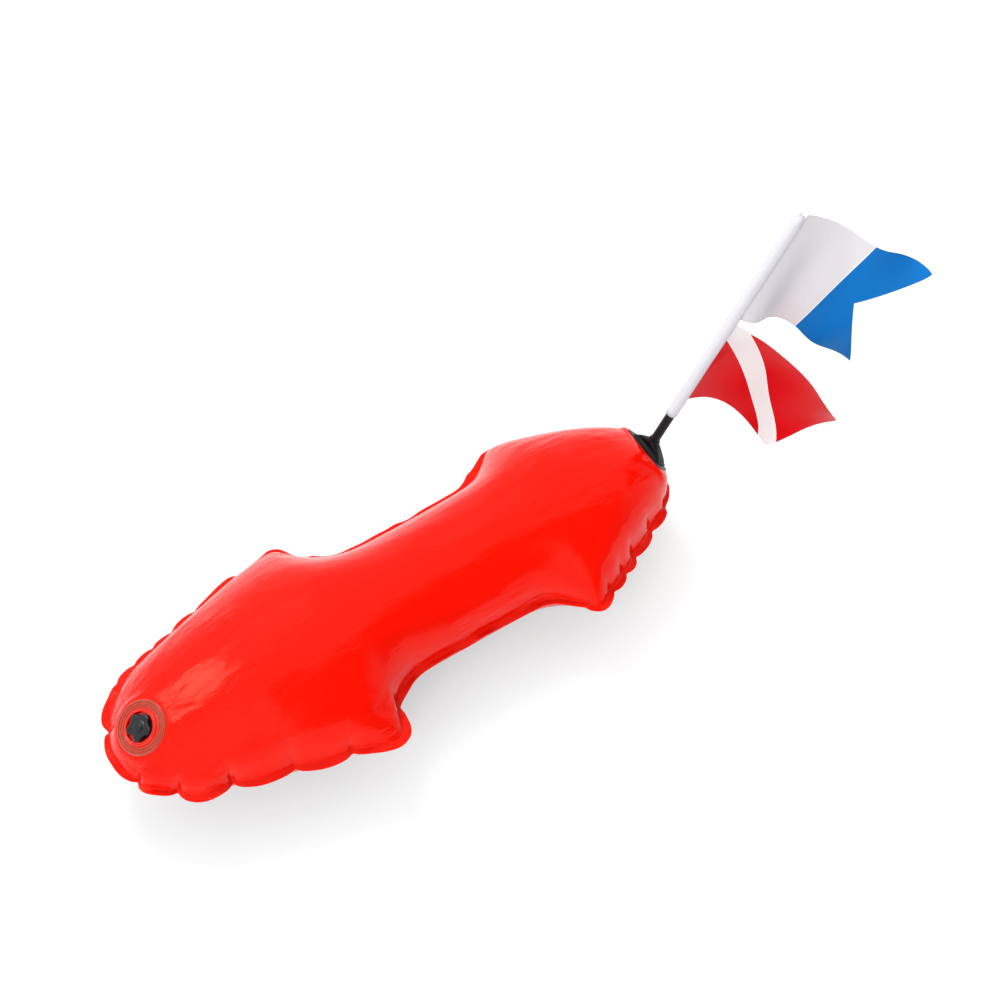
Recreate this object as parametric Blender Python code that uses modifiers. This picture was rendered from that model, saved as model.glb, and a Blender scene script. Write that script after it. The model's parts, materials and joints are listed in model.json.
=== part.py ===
"""Inflatable dive float buoy with a flag mast, modelled for Blender 4.5.

The float lies along X with its nose at low X and its mast at the tail.
Lengths are metres, +Z is up, and the float rests on z = 0 with the origin under its chest.
"""

import math

import bmesh
import bpy
import numpy as np
from mathutils import Matrix, Vector
from mathutils.geometry import delaunay_2d_cdt

# Clearances
GAP = 0.0003
SLIP = 0.0004

# Plan outline of the welded panels, before its corners are rounded
LENGTH = 0.790
NOSE_HALF = 0.035
NOSE_ROUND = 0.066
CHEEK_X = 0.062
CHEEK_HALF = 0.0953
CHEEK_ROUND = 0.075
FRONT_WING_X = 0.318
FRONT_WING_HALF = 0.1655
FRONT_SHOULDER_RUN = 0.022
WAIST_HALF = 0.0985
REAR_SHOULDER_RUN = 0.046
REAR_WING_FROM_TAIL = 0.184
REAR_WING_HALF = 0.147
TAIL_HALF = 0.053
TAIL_ROUND = 0.056
WING_TIP_ROUND = 0.022
FRONT_NECK_ROUND = 0.060
REAR_NECK_ROUND = 0.040
WELD_MARGIN = 0.009

# Crown of the inflated panels over the seam plane
CHEST_X = 0.270
CHEST_CROWN = 0.098
WAIST_CROWN = 0.081
RUMP_FROM_TAIL = 0.150
RUMP_CROWN = 0.096
BELLY_BULGE = 0.003
NOSE_FULLNESS = 0.62
TAIL_FULLNESS = 0.42
SIDE_FULLNESS = 0.58
REST_FLAT = 0.0025
REST_LENGTH_HALF = 0.045
REST_WIDTH_HALF = 0.026
REST_BLEND = 0.035
SKIN = 0.0006

# Spacing of the panels' mesh: rings of points run from the weld line to the spine
EDGE_STEP = 0.020
ARC_STEP = math.radians(18)
RING_FRACTIONS = (0.06, 0.17, 0.34, 0.60, 1.0)
SPINE_FROM_NOSE = 0.050
SPINE_FROM_TAIL = 0.044
SPINE_BY_STATION = 0.85
FIT_RADIUS = 0.026
SMOOTH_ANGLE = math.radians(35)
PAD_SIDES = 14
HOLE_SIDES = 18
PAD_CLEAR = 0.004
WELD_CLEAR = 0.002

# Inflation valve
VALVE_X = 0.0515
VALVE_SINK = 0.0016
VALVE_TILT = math.radians(2)
VALVE_BLEND = 0.010
VALVE_SIDES = 30
VALVE_RIM = 0.0021
VALVE_FLANGE_THICK = 0.0009
VALVE_RIB_RISE = 0.0008
VALVE_RIB_HALF = 0.0009
VALVE_RIB_FIRST = 0.0026
VALVE_RIB_PITCH = 0.0032
VALVE_RIBS = 3
VALVE_COLLAR_WALL = 0.0021
VALVE_COLLAR_RISE = 0.0034
VALVE_SKIRT_DEPTH = 0.0030
VALVE_SKIRT_WALL = 0.0014
SEAT_WALL = 0.0017
SEAT_LEDGE_DEPTH = 0.0056
SEAT_LEDGE_THICK = 0.0020
SEAT_BORE_RADIUS = 0.0128
SEAT_TUBE_WALL = 0.0020
SEAT_TUBE_DEPTH = 0.0086
SPIDER_THICK = 0.0016
SPIDER_ARM_HALF = 0.0011
SPIDER_ARMS = 4
SPIDER_HOLE_SIDES = 12
WINDOW_FAR_PARTS = 6
WINDOW_NEAR_PARTS = 2
HUB_RADIUS = 0.0034
MEMBRANE_STEM_RADIUS = 0.0012
MEMBRANE_BEAD_RADIUS = 0.0022
MEMBRANE_BEAD_HEIGHT = 0.0018
MEMBRANE_LAP = 0.0010
MEMBRANE_THICK = 0.0009
MEMBRANE_TRAVEL = 0.0015
MEMBRANE_SIDES = 20
CAP_OVER_BORE = 0.0024
CAP_ROOM = 0.0016
CAP_LOBES = 5
CAP_PHASE = math.radians(12)
CAP_SIDES = 60
CAP_LOBE_RISE = 0.0017
CAP_THICK = 0.0052
CAP_EDGE = 0.0011
CAP_BOSS_RADIUS = 0.0062
CAP_BOSS_RISE = 0.0018
PLUG_WALL = 0.0018
PLUG_ROOM = 0.0016
PLUG_SIDES = 30
ORING_CORD = 0.0011
ORING_SIDES = 24
ORING_CORD_SIDES = 6

# Mast mount on the tail
MOUNT_SLOPE = math.radians(57)
MOUNT_FROM_TAIL = 0.0225
MOUNT_SINK = 0.0065
MOUNT_BLEND = 0.016
MOUNT_SQUARENESS = 5.0
PATCH_LENGTH = 0.034
PATCH_FRONT_HALF = 0.042
PATCH_REAR_HALF = 0.030
PATCH_THICK = 0.0008
PATCH_ROUND = 0.007
BOOT_CENTRE = 0.0010
PATCH_SHOW_AHEAD = 0.00325
PATCH_SHOW_BESIDE = 0.0040
BOOT_PLATE_THICK = 0.0022
BOOT_LEDGE_AHEAD = 0.0015
BOOT_LEDGE_BESIDE = 0.0055
BOOT_STEP_IN = 0.0022
BOOT_STEP_HEIGHT = 0.0011
BOOT_STEPS = 2
BOOT_STEP_EDGE = 0.0004
BOOT_SQUARENESS = 7.0
BOOT_NECK_SQUARENESS = 3.2
BOOT_SIDES = 28
COLLAR_WALL = 0.0016
COLLAR_HEIGHT = 0.0028
COLLAR_RISE = 0.0030
SOCKET_DEPTH = 0.0110

# Mast, from the top of the collar along the mast
MAST_FOOT_RISE = 0.01614
MAST_FOOT_SHIFT = -0.00979
MAST_LEAN = math.radians(29.8)
STEM_SIDES = 20
STEM_WALL = 0.0017
STEM_FOOT_FLARE = 0.0007
STEM_FOOT_TAPER = 0.0080
STEM_LENGTH = 0.060
STEM_BORE_DEPTH = 0.046
ROD_SIDES = 16
ROD_RADIUS = 0.0030
ROD_HEADROOM = 0.0120
TIP_ROOM = 0.0006
TIP_WALL_REACH = 0.0110
TIP_DOME_PARTS = 4
SLEEVE_OVERLAP = 0.0125
SLEEVE_FOOT = 0.0073
SLEEVE_WALL = 0.0006
SLEEVE_FLARE = 0.0010
SLEEVE_DOME_SHARE = 0.7
SLEEVE_DOME_FALL = 0.12

# Flags, cut flat and hung from the sleeve
FLAG_THICK = 0.0006
FLAG_HANG = math.radians(20)
FLAG_BREAK = 0.0100
FLAG_ROWS = 6
FLAG_COLUMNS = 20
ALPHA_OVER_SLEEVE = 0.0018
ALPHA_HOIST = 0.1645
ALPHA_FLY = 0.1794
ALPHA_NOTCH = 0.0534
DIVER_HOIST = 0.1445
DIVER_FLY = 0.1790
# Headings of the cloth about the mast at even steps from the hoist to the fly, in degrees,
# where aft is 0 and the near side is 90: along the bottom edge, the middle and the top edge
ALPHA_HEADINGS = (
    (45, 18, -14, -18, 2, 30, 62, 89, 75, 37, 31, 50, 80),
    (26, 8, -1, 9, 35, 62, 79, 80, 64, 50, 49, 60, 78),
    (11, 19, 31, 43, 58, 68, 61, 33, 13, 23, 46, 77, 112),
)
DIVER_HEADINGS = (
    (-66, -31, -7, -2, 5, 19, 38, 59, 77, 90, 97, 95, 89),
    (-34, -18, 4, 26, 43, 58, 74, 81, 79, 75, 69, 66, 64),
    (35, 46, 55, 69, 72, 72, 77, 86, 97, 104, 103, 100, 96),
)

# Rings under the float
RING_PATCH_RADIUS = 0.0180
RING_PATCH_THICK = 0.0008
WEB_WIDTH = 0.0185
WEB_THICK = 0.0012
WEB_EDGE_ROOM = 0.0016
RING_WIRE_RADIUS = 0.0018
RING_SIDE_ROOM = 0.0015
RING_DEPTH = 0.0180
RING_PATCH_SINK = 0.0008
RING_PATCH_BLEND = 0.010
RING_CORNER = 0.0035
WEB_LOOP_TUCK = 0.6
WEB_LOOP_PARTS = 12
WEB_HOLE_SIDES = 14
RING_BOW_PARTS = 14
RING_CORNER_PARTS = 3
RING_PATCH_SIDES = 20
NOSE_RING_X = 0.056
FRONT_RING_BEFORE_WING = 0.082
FRONT_RING_IN = 0.0655
REAR_RING_BEHIND_WING = 0.038
REAR_RING_IN = 0.059

# Stations, heights and radii that follow from the sizes above
WAIST_FRONT_X = FRONT_WING_X + FRONT_SHOULDER_RUN
REAR_WING_X = LENGTH - REAR_WING_FROM_TAIL
WAIST_REAR_X = REAR_WING_X - REAR_SHOULDER_RUN
WAIST_X = (WAIST_FRONT_X + WAIST_REAR_X) / 2
RUMP_X = LENGTH - RUMP_FROM_TAIL
REST_DEPTH = min(CHEST_CROWN, RUMP_CROWN) + BELLY_BULGE - REST_FLAT
SEAM_HEIGHT = REST_DEPTH + SKIN + GAP / 2
ON_SKIN = SKIN + GAP
CAP_RADIUS = SEAT_BORE_RADIUS + CAP_OVER_BORE
SEAT_OUTER_RADIUS = CAP_RADIUS + CAP_LOBE_RISE + CAP_ROOM + SEAT_WALL
VALVE_BORE_RADIUS = SEAT_OUTER_RADIUS + GAP
VALVE_COLLAR_RADIUS = VALVE_BORE_RADIUS + VALVE_COLLAR_WALL
VALVE_RIB_RADII = [VALVE_COLLAR_RADIUS + VALVE_RIB_FIRST + VALVE_RIB_PITCH * i for i in range(VALVE_RIBS)]
VALVE_FLANGE_RADIUS = VALVE_RIB_RADII[-1] + VALVE_RIM
MEMBRANE_RADIUS = SEAT_BORE_RADIUS + MEMBRANE_LAP
PLUG_DEPTH = SEAT_TUBE_DEPTH - SPIDER_THICK + 2 * (GAP + ORING_CORD) - PLUG_ROOM
BOOT_PLATE_LENGTH = PATCH_LENGTH - 2 * PATCH_SHOW_AHEAD
BOOT_PLATE_WIDTH = 2 * (PATCH_REAR_HALF - PATCH_SHOW_BESIDE)
BOOT_BODY_LENGTH = BOOT_PLATE_LENGTH - 2 * BOOT_LEDGE_AHEAD
BOOT_BODY_WIDTH = BOOT_PLATE_WIDTH - 2 * BOOT_LEDGE_BESIDE
STEM_RADIUS = ROD_RADIUS + GAP + STEM_WALL
STEM_FOOT_RADIUS = STEM_RADIUS + STEM_FOOT_FLARE
COLLAR_RADIUS = STEM_FOOT_RADIUS + GAP + COLLAR_WALL
SLEEVE_BOTTOM = STEM_LENGTH - SLEEVE_OVERLAP
DIVER_TOP = SLEEVE_BOTTOM + SLEEVE_FOOT + DIVER_HOIST
ALPHA_TOP = DIVER_TOP + FLAG_BREAK + ALPHA_HOIST
SLEEVE_TOP = ALPHA_TOP - ALPHA_OVER_SLEEVE
SLEEVE_BORE_RADIUS = STEM_RADIUS + SLIP
SLEEVE_TOP_RADIUS = SLEEVE_BORE_RADIUS + SLEEVE_WALL + SLEEVE_FLARE
ROD_TOP = SLEEVE_TOP - ROD_HEADROOM
TIP_RADIUS = SLEEVE_BORE_RADIUS - TIP_ROOM
FLAG_OFFSET = FLAG_THICK / 2 + GAP
RING_INNER_WIDTH = WEB_WIDTH + 2 * RING_SIDE_ROOM
WEB_REACH = math.sqrt((RING_PATCH_RADIUS - WEB_EDGE_ROOM) ** 2 - (WEB_WIDTH / 2) ** 2)
FRONT_RING_X = FRONT_WING_X - FRONT_RING_BEFORE_WING
FRONT_RING_Y = FRONT_WING_HALF - FRONT_RING_IN
REAR_RING_X = REAR_WING_X + REAR_RING_BEHIND_WING
REAR_RING_Y = REAR_WING_HALF - REAR_RING_IN


def clear_scene():
    """Remove every object of the scene that is open."""
    for item in list(bpy.data.objects):
        bpy.data.objects.remove(item, do_unlink=True)


def make_collection(name):
    """Return a new collection linked to the scene."""
    group = bpy.data.collections.new(name)
    bpy.context.scene.collection.children.link(group)
    return group


def make_material(name, colour, roughness, metallic=0.0):
    """Return a Principled BSDF material."""
    material = bpy.data.materials.new(name)
    material.use_nodes = True
    shader = material.node_tree.nodes["Principled BSDF"]
    shader.inputs["Base Color"].default_value = (*colour, 1.0)
    shader.inputs["Roughness"].default_value = roughness
    shader.inputs["Metallic"].default_value = metallic
    return material


def place(data, name, group, parent=None, material=None, matrix=None):
    """Make an object of mesh or curve data, put it in a group and under a parent."""
    item = bpy.data.objects.new(name, data)
    group.objects.link(item)
    item.parent = parent
    if matrix is not None:
        item.matrix_basis = matrix
    if material is not None:
        data.materials.append(material)
    return item


def frame_empty(name, group, parent, origin, x_axis, z_axis):
    """Return an empty whose X and Z axes are given in its parent's frame."""
    z_unit = Vector(z_axis).normalized()
    y_unit = z_unit.cross(Vector(x_axis)).normalized()
    x_unit = y_unit.cross(z_unit)
    matrix = Matrix((x_unit, y_unit, z_unit)).transposed().to_4x4()
    matrix.translation = Vector(origin)
    item = place(None, name, group, parent, matrix=matrix)
    item.empty_display_size = 0.02
    return item


def new_mesh(bm, name):
    """Turn a bmesh into mesh data with smooth faces and sharp corners kept."""
    bmesh.ops.recalc_face_normals(bm, faces=bm.faces)
    return open_mesh(bm, name)


def open_mesh(bm, name):
    """Turn a bmesh into mesh data and keep the direction of its faces."""
    mesh = bpy.data.meshes.new(name)
    bm.to_mesh(mesh)
    bm.free()
    mesh.shade_smooth()
    mesh.set_sharp_from_angle(angle=SMOOTH_ANGLE)
    return mesh


def turned(name, group, parent, material, profile, steps, matrix=None, closed=False):
    """Spin a profile of (radius, height) points, listed down its outer side, about Z."""
    bm = bmesh.new()
    verts = [bm.verts.new((radius, 0.0, height)) for radius, height in profile]
    for first, second in zip(verts, verts[1:]):
        bm.edges.new((first, second))
    if closed:
        bm.edges.new((verts[-1], verts[0]))
    mesh = bpy.data.meshes.new(name)
    bm.to_mesh(mesh)
    bm.free()
    item = place(mesh, name, group, parent, material, matrix)
    screw = item.modifiers.new("turn", "SCREW")
    screw.axis = "Z"
    screw.angle = math.tau
    screw.steps = steps
    screw.render_steps = steps
    screw.use_merge_vertices = True
    screw.merge_threshold = 0.0001
    screw.use_smooth_shade = True
    return item


def flat_curve(name, group, parent, material, outlines, half_thickness, matrix=None, bevel=0.0):
    """Fill one or more closed outlines and give them a thickness."""
    curve = bpy.data.curves.new(name, "CURVE")
    curve.dimensions = "2D"
    curve.fill_mode = "BOTH"
    curve.extrude = half_thickness - bevel
    curve.bevel_depth = bevel
    curve.bevel_resolution = 1
    curve.offset = -bevel
    for outline in outlines:
        spline = curve.splines.new("POLY")
        spline.points.add(len(outline) - 1)
        for point, (u, v) in zip(spline.points, outline):
            point.co = (u, v, 0.0, 1.0)
        spline.use_cyclic_u = True
    return place(curve, name, group, parent, material, matrix)


def baked(item, group, material):
    """Replace a curve or a modified object by its evaluated mesh, with its seams welded."""
    bpy.context.view_layer.update()
    graph = bpy.context.evaluated_depsgraph_get()
    mesh = bpy.data.meshes.new_from_object(item.evaluated_get(graph))
    bm = bmesh.new()
    bm.from_mesh(mesh)
    bmesh.ops.remove_doubles(bm, verts=bm.verts, dist=0.00001)
    bmesh.ops.recalc_face_normals(bm, faces=bm.faces)
    bm.to_mesh(mesh)
    bm.free()
    name = item.name
    world = item.matrix_world.copy()
    parent = item.parent
    bpy.data.objects.remove(item, do_unlink=True)
    result = bpy.data.objects.new(name, mesh)
    group.objects.link(result)
    result.parent = parent
    result.matrix_world = world
    mesh.materials.clear()
    mesh.materials.append(material)
    return result


def combine(target, tool, operation):
    """Add a Boolean with a cutter object that stays hidden."""
    tool.hide_render = True
    tool.display_type = "WIRE"
    boolean = target.modifiers.new(tool.name, "BOOLEAN")
    boolean.operation = operation
    boolean.object = tool
    boolean.solver = "EXACT"


def arc(centre, radius, start, end, count):
    """Return points on an arc, angles in radians, both ends included."""
    angles = np.linspace(start, end, count + 1)
    return [(centre[0] + radius * math.cos(a), centre[1] + radius * math.sin(a)) for a in angles]


def rounded(corners, closed=False):
    """Round the corners of a path of (x, y, radius) with arcs, and split its long straights."""
    points = []
    count = len(corners)
    for index, (x, y, radius) in enumerate(corners):
        here = Vector((x, y))
        if radius == 0.0:
            points.append(here)
            continue
        back = (Vector(corners[index - 1][:2]) - here).normalized()
        ahead = (Vector(corners[(index + 1) % count][:2]) - here).normalized()
        opening = back.angle(ahead)
        reach = radius / math.tan(opening / 2)
        centre = here + (back + ahead).normalized() * radius / math.sin(opening / 2)
        start = here + back * reach - centre
        turn = start.angle_signed(here + ahead * reach - centre)
        parts = max(2, math.ceil(abs(turn) / ARC_STEP))
        for part in range(parts + 1):
            spoke = start.copy()
            spoke.rotate(Matrix.Rotation(-turn * part / parts, 2))
            points.append(centre + spoke)
    split = []
    pairs = list(zip(points, points[1:]))
    if closed:
        pairs.append((points[-1], points[0]))
    for first, second in pairs:
        parts = max(1, round((second - first).length / EDGE_STEP))
        split.extend(first.lerp(second, part / parts) for part in range(parts))
    if not closed:
        split.append(points[-1])
    return np.array([tuple(point) for point in split])


def inset(path, distance):
    """Move an open path from nose to tail inwards, its ends staying on the centre line."""
    along = np.gradient(path, axis=0)
    along[0] = (0.0, 1.0)
    along[-1] = (0.0, -1.0)
    along /= np.linalg.norm(along, axis=1)[:, None]
    moved = path + np.stack([along[:, 1], -along[:, 0]], axis=1) * distance
    moved[0, 1] = moved[-1, 1] = 0.0
    return moved


def half_outline():
    """Return the panels' outer edge from nose to tail on the +Y side."""
    return rounded([
        (0.0, 0.0, 0.0),
        (0.0, NOSE_HALF, NOSE_ROUND),
        (CHEEK_X, CHEEK_HALF, CHEEK_ROUND),
        (FRONT_WING_X, FRONT_WING_HALF, WING_TIP_ROUND),
        (WAIST_FRONT_X, WAIST_HALF, FRONT_NECK_ROUND),
        (WAIST_REAR_X, WAIST_HALF, REAR_NECK_ROUND),
        (REAR_WING_X, REAR_WING_HALF, WING_TIP_ROUND),
        (LENGTH, TAIL_HALF, TAIL_ROUND),
        (LENGTH, 0.0, 0.0),
    ])


def crown(x, bulge=0.0):
    """Return the height of the centre line over the seam plane at stations x."""
    x = np.asarray(x, dtype=float)
    chest = CHEST_CROWN + bulge
    waist = WAIST_CROWN + bulge
    rump = RUMP_CROWN + bulge
    front = np.clip((x - WELD_MARGIN) / (CHEST_X - WELD_MARGIN), 0.0, 1.0)
    rear = np.clip((LENGTH - WELD_MARGIN - x) / (RUMP_FROM_TAIL - WELD_MARGIN), 0.0, 1.0)
    fall = np.clip((x - CHEST_X) / (WAIST_X - CHEST_X), 0.0, 1.0)
    rise = np.clip((x - WAIST_X) / (RUMP_X - WAIST_X), 0.0, 1.0)
    nose = chest * (1 - (1 - front) ** 2) ** NOSE_FULLNESS
    tail = rump * (1 - (1 - rear) ** 2) ** TAIL_FULLNESS
    before = chest + (waist - chest) * (1 - np.cos(math.pi * fall)) / 2
    after = waist + (rump - waist) * (1 - np.cos(math.pi * rise)) / 2
    height = np.where(x < CHEST_X, nose, np.where(x < WAIST_X, before, after))
    return np.where(x > RUMP_X, tail, height)


class Pad:
    """A flat seat in a panel, where a stiffer piece is welded on."""

    def __init__(self, origin, normal, length_half, front_half, rear_half=None, power=2.0, blend=0.0):
        self.origin = Vector(origin)
        self.normal = Vector(normal).normalized()
        self.across = Vector((0.0, 1.0, 0.0)) if abs(origin[1]) < 1e-6 else None
        if self.across is None:
            self.across = Vector((0.0, 0.0, 1.0)).cross(self.normal).normalized()
        self.along = self.across.cross(self.normal).normalized()
        self.length_half = length_half
        self.front_half = front_half
        self.rear_half = front_half if rear_half is None else rear_half
        self.power = power
        self.blend = blend

    def height(self, x, y):
        """Return the plane's height over the plan point."""
        normal = self.normal
        return self.origin.z - (normal.x * (x - self.origin.x) + normal.y * (y - self.origin.y)) / normal.z

    def local(self, x, y):
        """Return the place of a plan point on the plane, along and across it."""
        offset = Vector((x, y, self.height(x, y))) - self.origin
        return offset.dot(self.along), offset.dot(self.across)

    def half_width(self, along):
        """Return the half width of the pad at a place along it."""
        share = (along / self.length_half + 1) / 2
        return self.front_half + (self.rear_half - self.front_half) * min(max(share, 0.0), 1.0)

    def distance(self, x, y):
        """Return how far a plan point is outside the pad, zero inside."""
        along, across = self.local(x, y)
        wide = self.half_width(along)
        share = ((abs(along) / self.length_half) ** self.power + (abs(across) / wide) ** self.power)
        share = share ** (1 / self.power)
        if share <= 1.0:
            return 0.0
        return math.hypot(along, across) * (1 - 1 / share)

    def border(self, count, grow=0.0):
        """Return the pad's border in plan, only its +Y half if it lies on the centre line."""
        centred = abs(self.origin.y) < 1e-6
        points = []
        for index in range(count + 1 if centred else count):
            angle = (math.pi if centred else math.tau) * index / count
            cosine = math.cos(angle)
            sine = math.sin(angle) if index < count or not centred else 0.0
            along = self.length_half * math.copysign(abs(cosine) ** (2 / self.power), cosine)
            across = self.half_width(along) * math.copysign(abs(sine) ** (2 / self.power), sine)
            larger = 1 + grow / math.hypot(along, across)
            spot = self.origin + (self.along * along + self.across * across) * larger
            points.append((spot.x, spot.y))
        return points, not centred


def inflate(points, triangles, free):
    """Solve for a membrane held at its edge under an even load, with linear triangles."""
    size = len(points)
    stiffness = np.zeros((size, size))
    load = np.zeros(size)
    for tri in triangles:
        corner = points[list(tri)]
        area = abs(np.cross(corner[1] - corner[0], corner[2] - corner[0])) / 2
        slope = np.stack([corner[[1, 2, 0], 1] - corner[[2, 0, 1], 1],
                          corner[[2, 0, 1], 0] - corner[[1, 2, 0], 0]], axis=1)
        stiffness[np.ix_(tri, tri)] += slope @ slope.T / (4 * area)
        load[list(tri)] += area / 3
    rise = np.zeros(size)
    rise[free] = np.linalg.solve(stiffness[np.ix_(free, free)], load[free])
    return rise


class Panel:
    """One half of the upper or lower panel as a triangle mesh over its plan."""

    def __init__(self, bulge, floor, pads, hole=None):
        self.bulge = bulge
        self.floor = floor
        self.pads = pads
        self.hole = hole
        self.outer = half_outline()
        self.weld = inset(self.outer, WELD_MARGIN)

    def grid(self):
        """Return the plan points between the weld line and the spine."""
        reach = np.linspace(0.0, 1.0, len(self.weld))
        step = (self.weld[:, 0] - self.weld[0, 0]) / (self.weld[-1, 0] - self.weld[0, 0])
        share = SPINE_BY_STATION * step + (1 - SPINE_BY_STATION) * reach
        first = self.weld[0, 0] + SPINE_FROM_NOSE
        last = self.weld[-1, 0] - SPINE_FROM_TAIL
        spine = np.stack([first + (last - first) * share, np.zeros(len(share))], axis=1)
        rings = [self.weld + (spine - self.weld) * fraction for fraction in RING_FRACTIONS]
        return np.concatenate(rings)

    def triangulate(self):
        """Triangulate the half plan with the outline, the weld line and the pads as fixed lines."""
        points = []
        edges = []

        def chain(path, closed):
            start = len(points)
            points.extend(tuple(spot) for spot in path)
            edges.extend((start + i, start + i + 1) for i in range(len(path) - 1))
            if closed:
                edges.append((len(points) - 1, start))

        chain(self.outer, False)
        chain(self.weld, False)
        borders = [pad.border(PAD_SIDES) for pad in self.pads]
        borders.extend(pad.border(PAD_SIDES, pad.blend / 2) for pad in self.pads)
        if self.hole is not None:
            borders.append(self.hole.border(HOLE_SIDES))
        for border, closed in borders:
            if all(self.clear_of_weld(spot) for spot in border):
                chain(border, closed)
        for spot in self.grid():
            near_pad = any(pad.distance(*spot) < PAD_CLEAR for pad in self.pads)
            if not near_pad:
                points.append(tuple(spot))
        middle = [i for i, spot in enumerate(points) if abs(spot[1]) < 1e-7]
        middle.sort(key=lambda i: points[i][0])
        edges.extend(zip(middle, middle[1:]))
        result = delaunay_2d_cdt([Vector(spot) for spot in points], edges, [], 1, 1e-6)
        plan = np.array([tuple(spot) for spot in result[0]])
        return plan, [tuple(face) for face in result[2]]

    def clear_of_weld(self, spot):
        """Tell whether a plan point is inside the weld line and not beside it."""
        away = np.min(np.linalg.norm(self.weld - np.array(spot), axis=1))
        return self.covered(spot) and away > WELD_CLEAR

    def heights(self, plan, faces):
        """Return the height of every plan point over the seam plane."""
        on_weld = np.array([np.min(np.linalg.norm(self.weld - spot, axis=1)) < 1e-5 for spot in plan])
        within = np.array([self.covered(spot) for spot in plan]) & ~on_weld
        domain = [face for face in faces if self.covered(plan[list(face)].mean(axis=0))]
        free = np.flatnonzero(within)
        rise = inflate(plan, domain, free)
        middle = np.flatnonzero(np.abs(plan[:, 1]) < 1e-7)
        middle = middle[np.argsort(plan[middle, 0])]
        spine = np.interp(plan[:, 0], plan[middle, 0], rise[middle])
        share = np.divide(rise, spine, out=np.zeros(len(plan)), where=spine > 1e-9)
        height = crown(plan[:, 0], self.bulge) * np.clip(share, 0.0, 1.0) ** SIDE_FULLNESS
        height[~within] = 0.0
        for pad in self.pads:
            for index in free:
                away = pad.distance(*plan[index])
                weight = max(0.0, 1 - away / pad.blend)
                weight = weight * weight * (3 - 2 * weight)
                height[index] += weight * (pad.height(*plan[index]) - height[index])
        return np.minimum(height, self.floor)

    def covered(self, spot):
        """Tell whether a plan point is inside the weld line."""
        x, y = spot
        path = self.weld
        crossing = False
        for (ax, ay), (bx, by) in zip(path, path[1:]):
            if (ax <= x) != (bx <= x):
                if y < ay + (by - ay) * (x - ax) / (bx - ax):
                    crossing = not crossing
        return crossing

    def build(self, name, side, group, parent, material):
        """Make the panel: half surface, mirrored, with its skin thickness outwards."""
        plan, faces = self.triangulate()
        height = self.heights(plan, faces)
        bm = bmesh.new()
        verts = [bm.verts.new((x, y, side * (z + GAP / 2))) for (x, y), z in zip(plan, height)]
        for face in faces:
            centre = plan[list(face)].mean(axis=0)
            if self.hole is not None and self.hole.distance(*centre) == 0.0:
                continue
            corners = [verts[i] for i in face]
            a, b, c = (plan[i] for i in face)
            turn = np.cross(b - a, c - a)
            if turn * side < 0:
                corners.reverse()
            bm.faces.new(corners)
        bmesh.ops.delete(bm, geom=[v for v in bm.verts if not v.link_faces], context="VERTS")
        item = place(open_mesh(bm, name), name, group, parent, material)
        mirror = item.modifiers.new("other half", "MIRROR")
        mirror.use_axis = (False, True, False)
        mirror.merge_threshold = 0.0001
        skin = item.modifiers.new("skin", "SOLIDIFY")
        skin.thickness = SKIN
        skin.offset = 1.0
        return item


def tangent_pad(panel_points, x, y, radius, sink, blend):
    """Return a round pad along the inflated panel round (x, y), sunk a little into it."""
    near = panel_points[np.hypot(panel_points[:, 0] - x, panel_points[:, 1] - y) < FIT_RADIUS]
    columns = np.stack([near[:, 0] - x, near[:, 1] - y, np.ones(len(near))], axis=1)
    slope_x, slope_y, height = np.linalg.lstsq(columns, near[:, 2], rcond=None)[0]
    if y == 0.0:
        slope_y = 0.0
    normal = Vector((-slope_x, -slope_y, 1.0)).normalized()
    origin = Vector((x, y, height)) - normal * sink
    reach = (radius + SLIP) / math.cos(math.pi / PAD_SIDES)
    return Pad(origin, normal, reach, reach, blend=blend)


def valve_seat_pad():
    """Return the round pad for the valve, along the centre line's chord but a little flatter."""
    reach = VALVE_FLANGE_RADIUS / 2
    rise = float(crown(VALVE_X + reach) - crown(VALVE_X - reach))
    slope = math.atan2(rise, 2 * reach) - VALVE_TILT
    origin = (VALVE_X, 0.0, float(crown(VALVE_X)) - VALVE_SINK)
    size = (VALVE_FLANGE_RADIUS + SLIP) / math.cos(math.pi / PAD_SIDES)
    return Pad(origin, (-math.sin(slope), 0.0, math.cos(slope)), size, size, blend=VALVE_BLEND)


def smooth_points(bulge):
    """Return points of the whole inflated panel before any pad flattens it."""
    panel = Panel(bulge, math.inf, [])
    plan, faces = panel.triangulate()
    half = np.column_stack([plan, panel.heights(plan, faces)])
    return np.concatenate([half, half * (1, -1, 1)])


def pad_frame(name, group, hull, pad, side, mirror=1):
    """Return an empty on a pad of the upper (side 1) or lower (side -1) panel, Z outwards."""
    origin = (pad.origin.x, pad.origin.y * mirror, side * (pad.origin.z + GAP / 2))
    normal = (pad.normal.x, pad.normal.y * mirror, side * pad.normal.z)
    along = (pad.along.x, pad.along.y * mirror, side * pad.along.z)
    return frame_empty(name, group, hull, origin, along, normal)


def circle(radius, count, centre=(0.0, 0.0)):
    """Return the corners of a circle."""
    return arc(centre, radius, 0.0, math.tau, count)[:-1]


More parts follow.
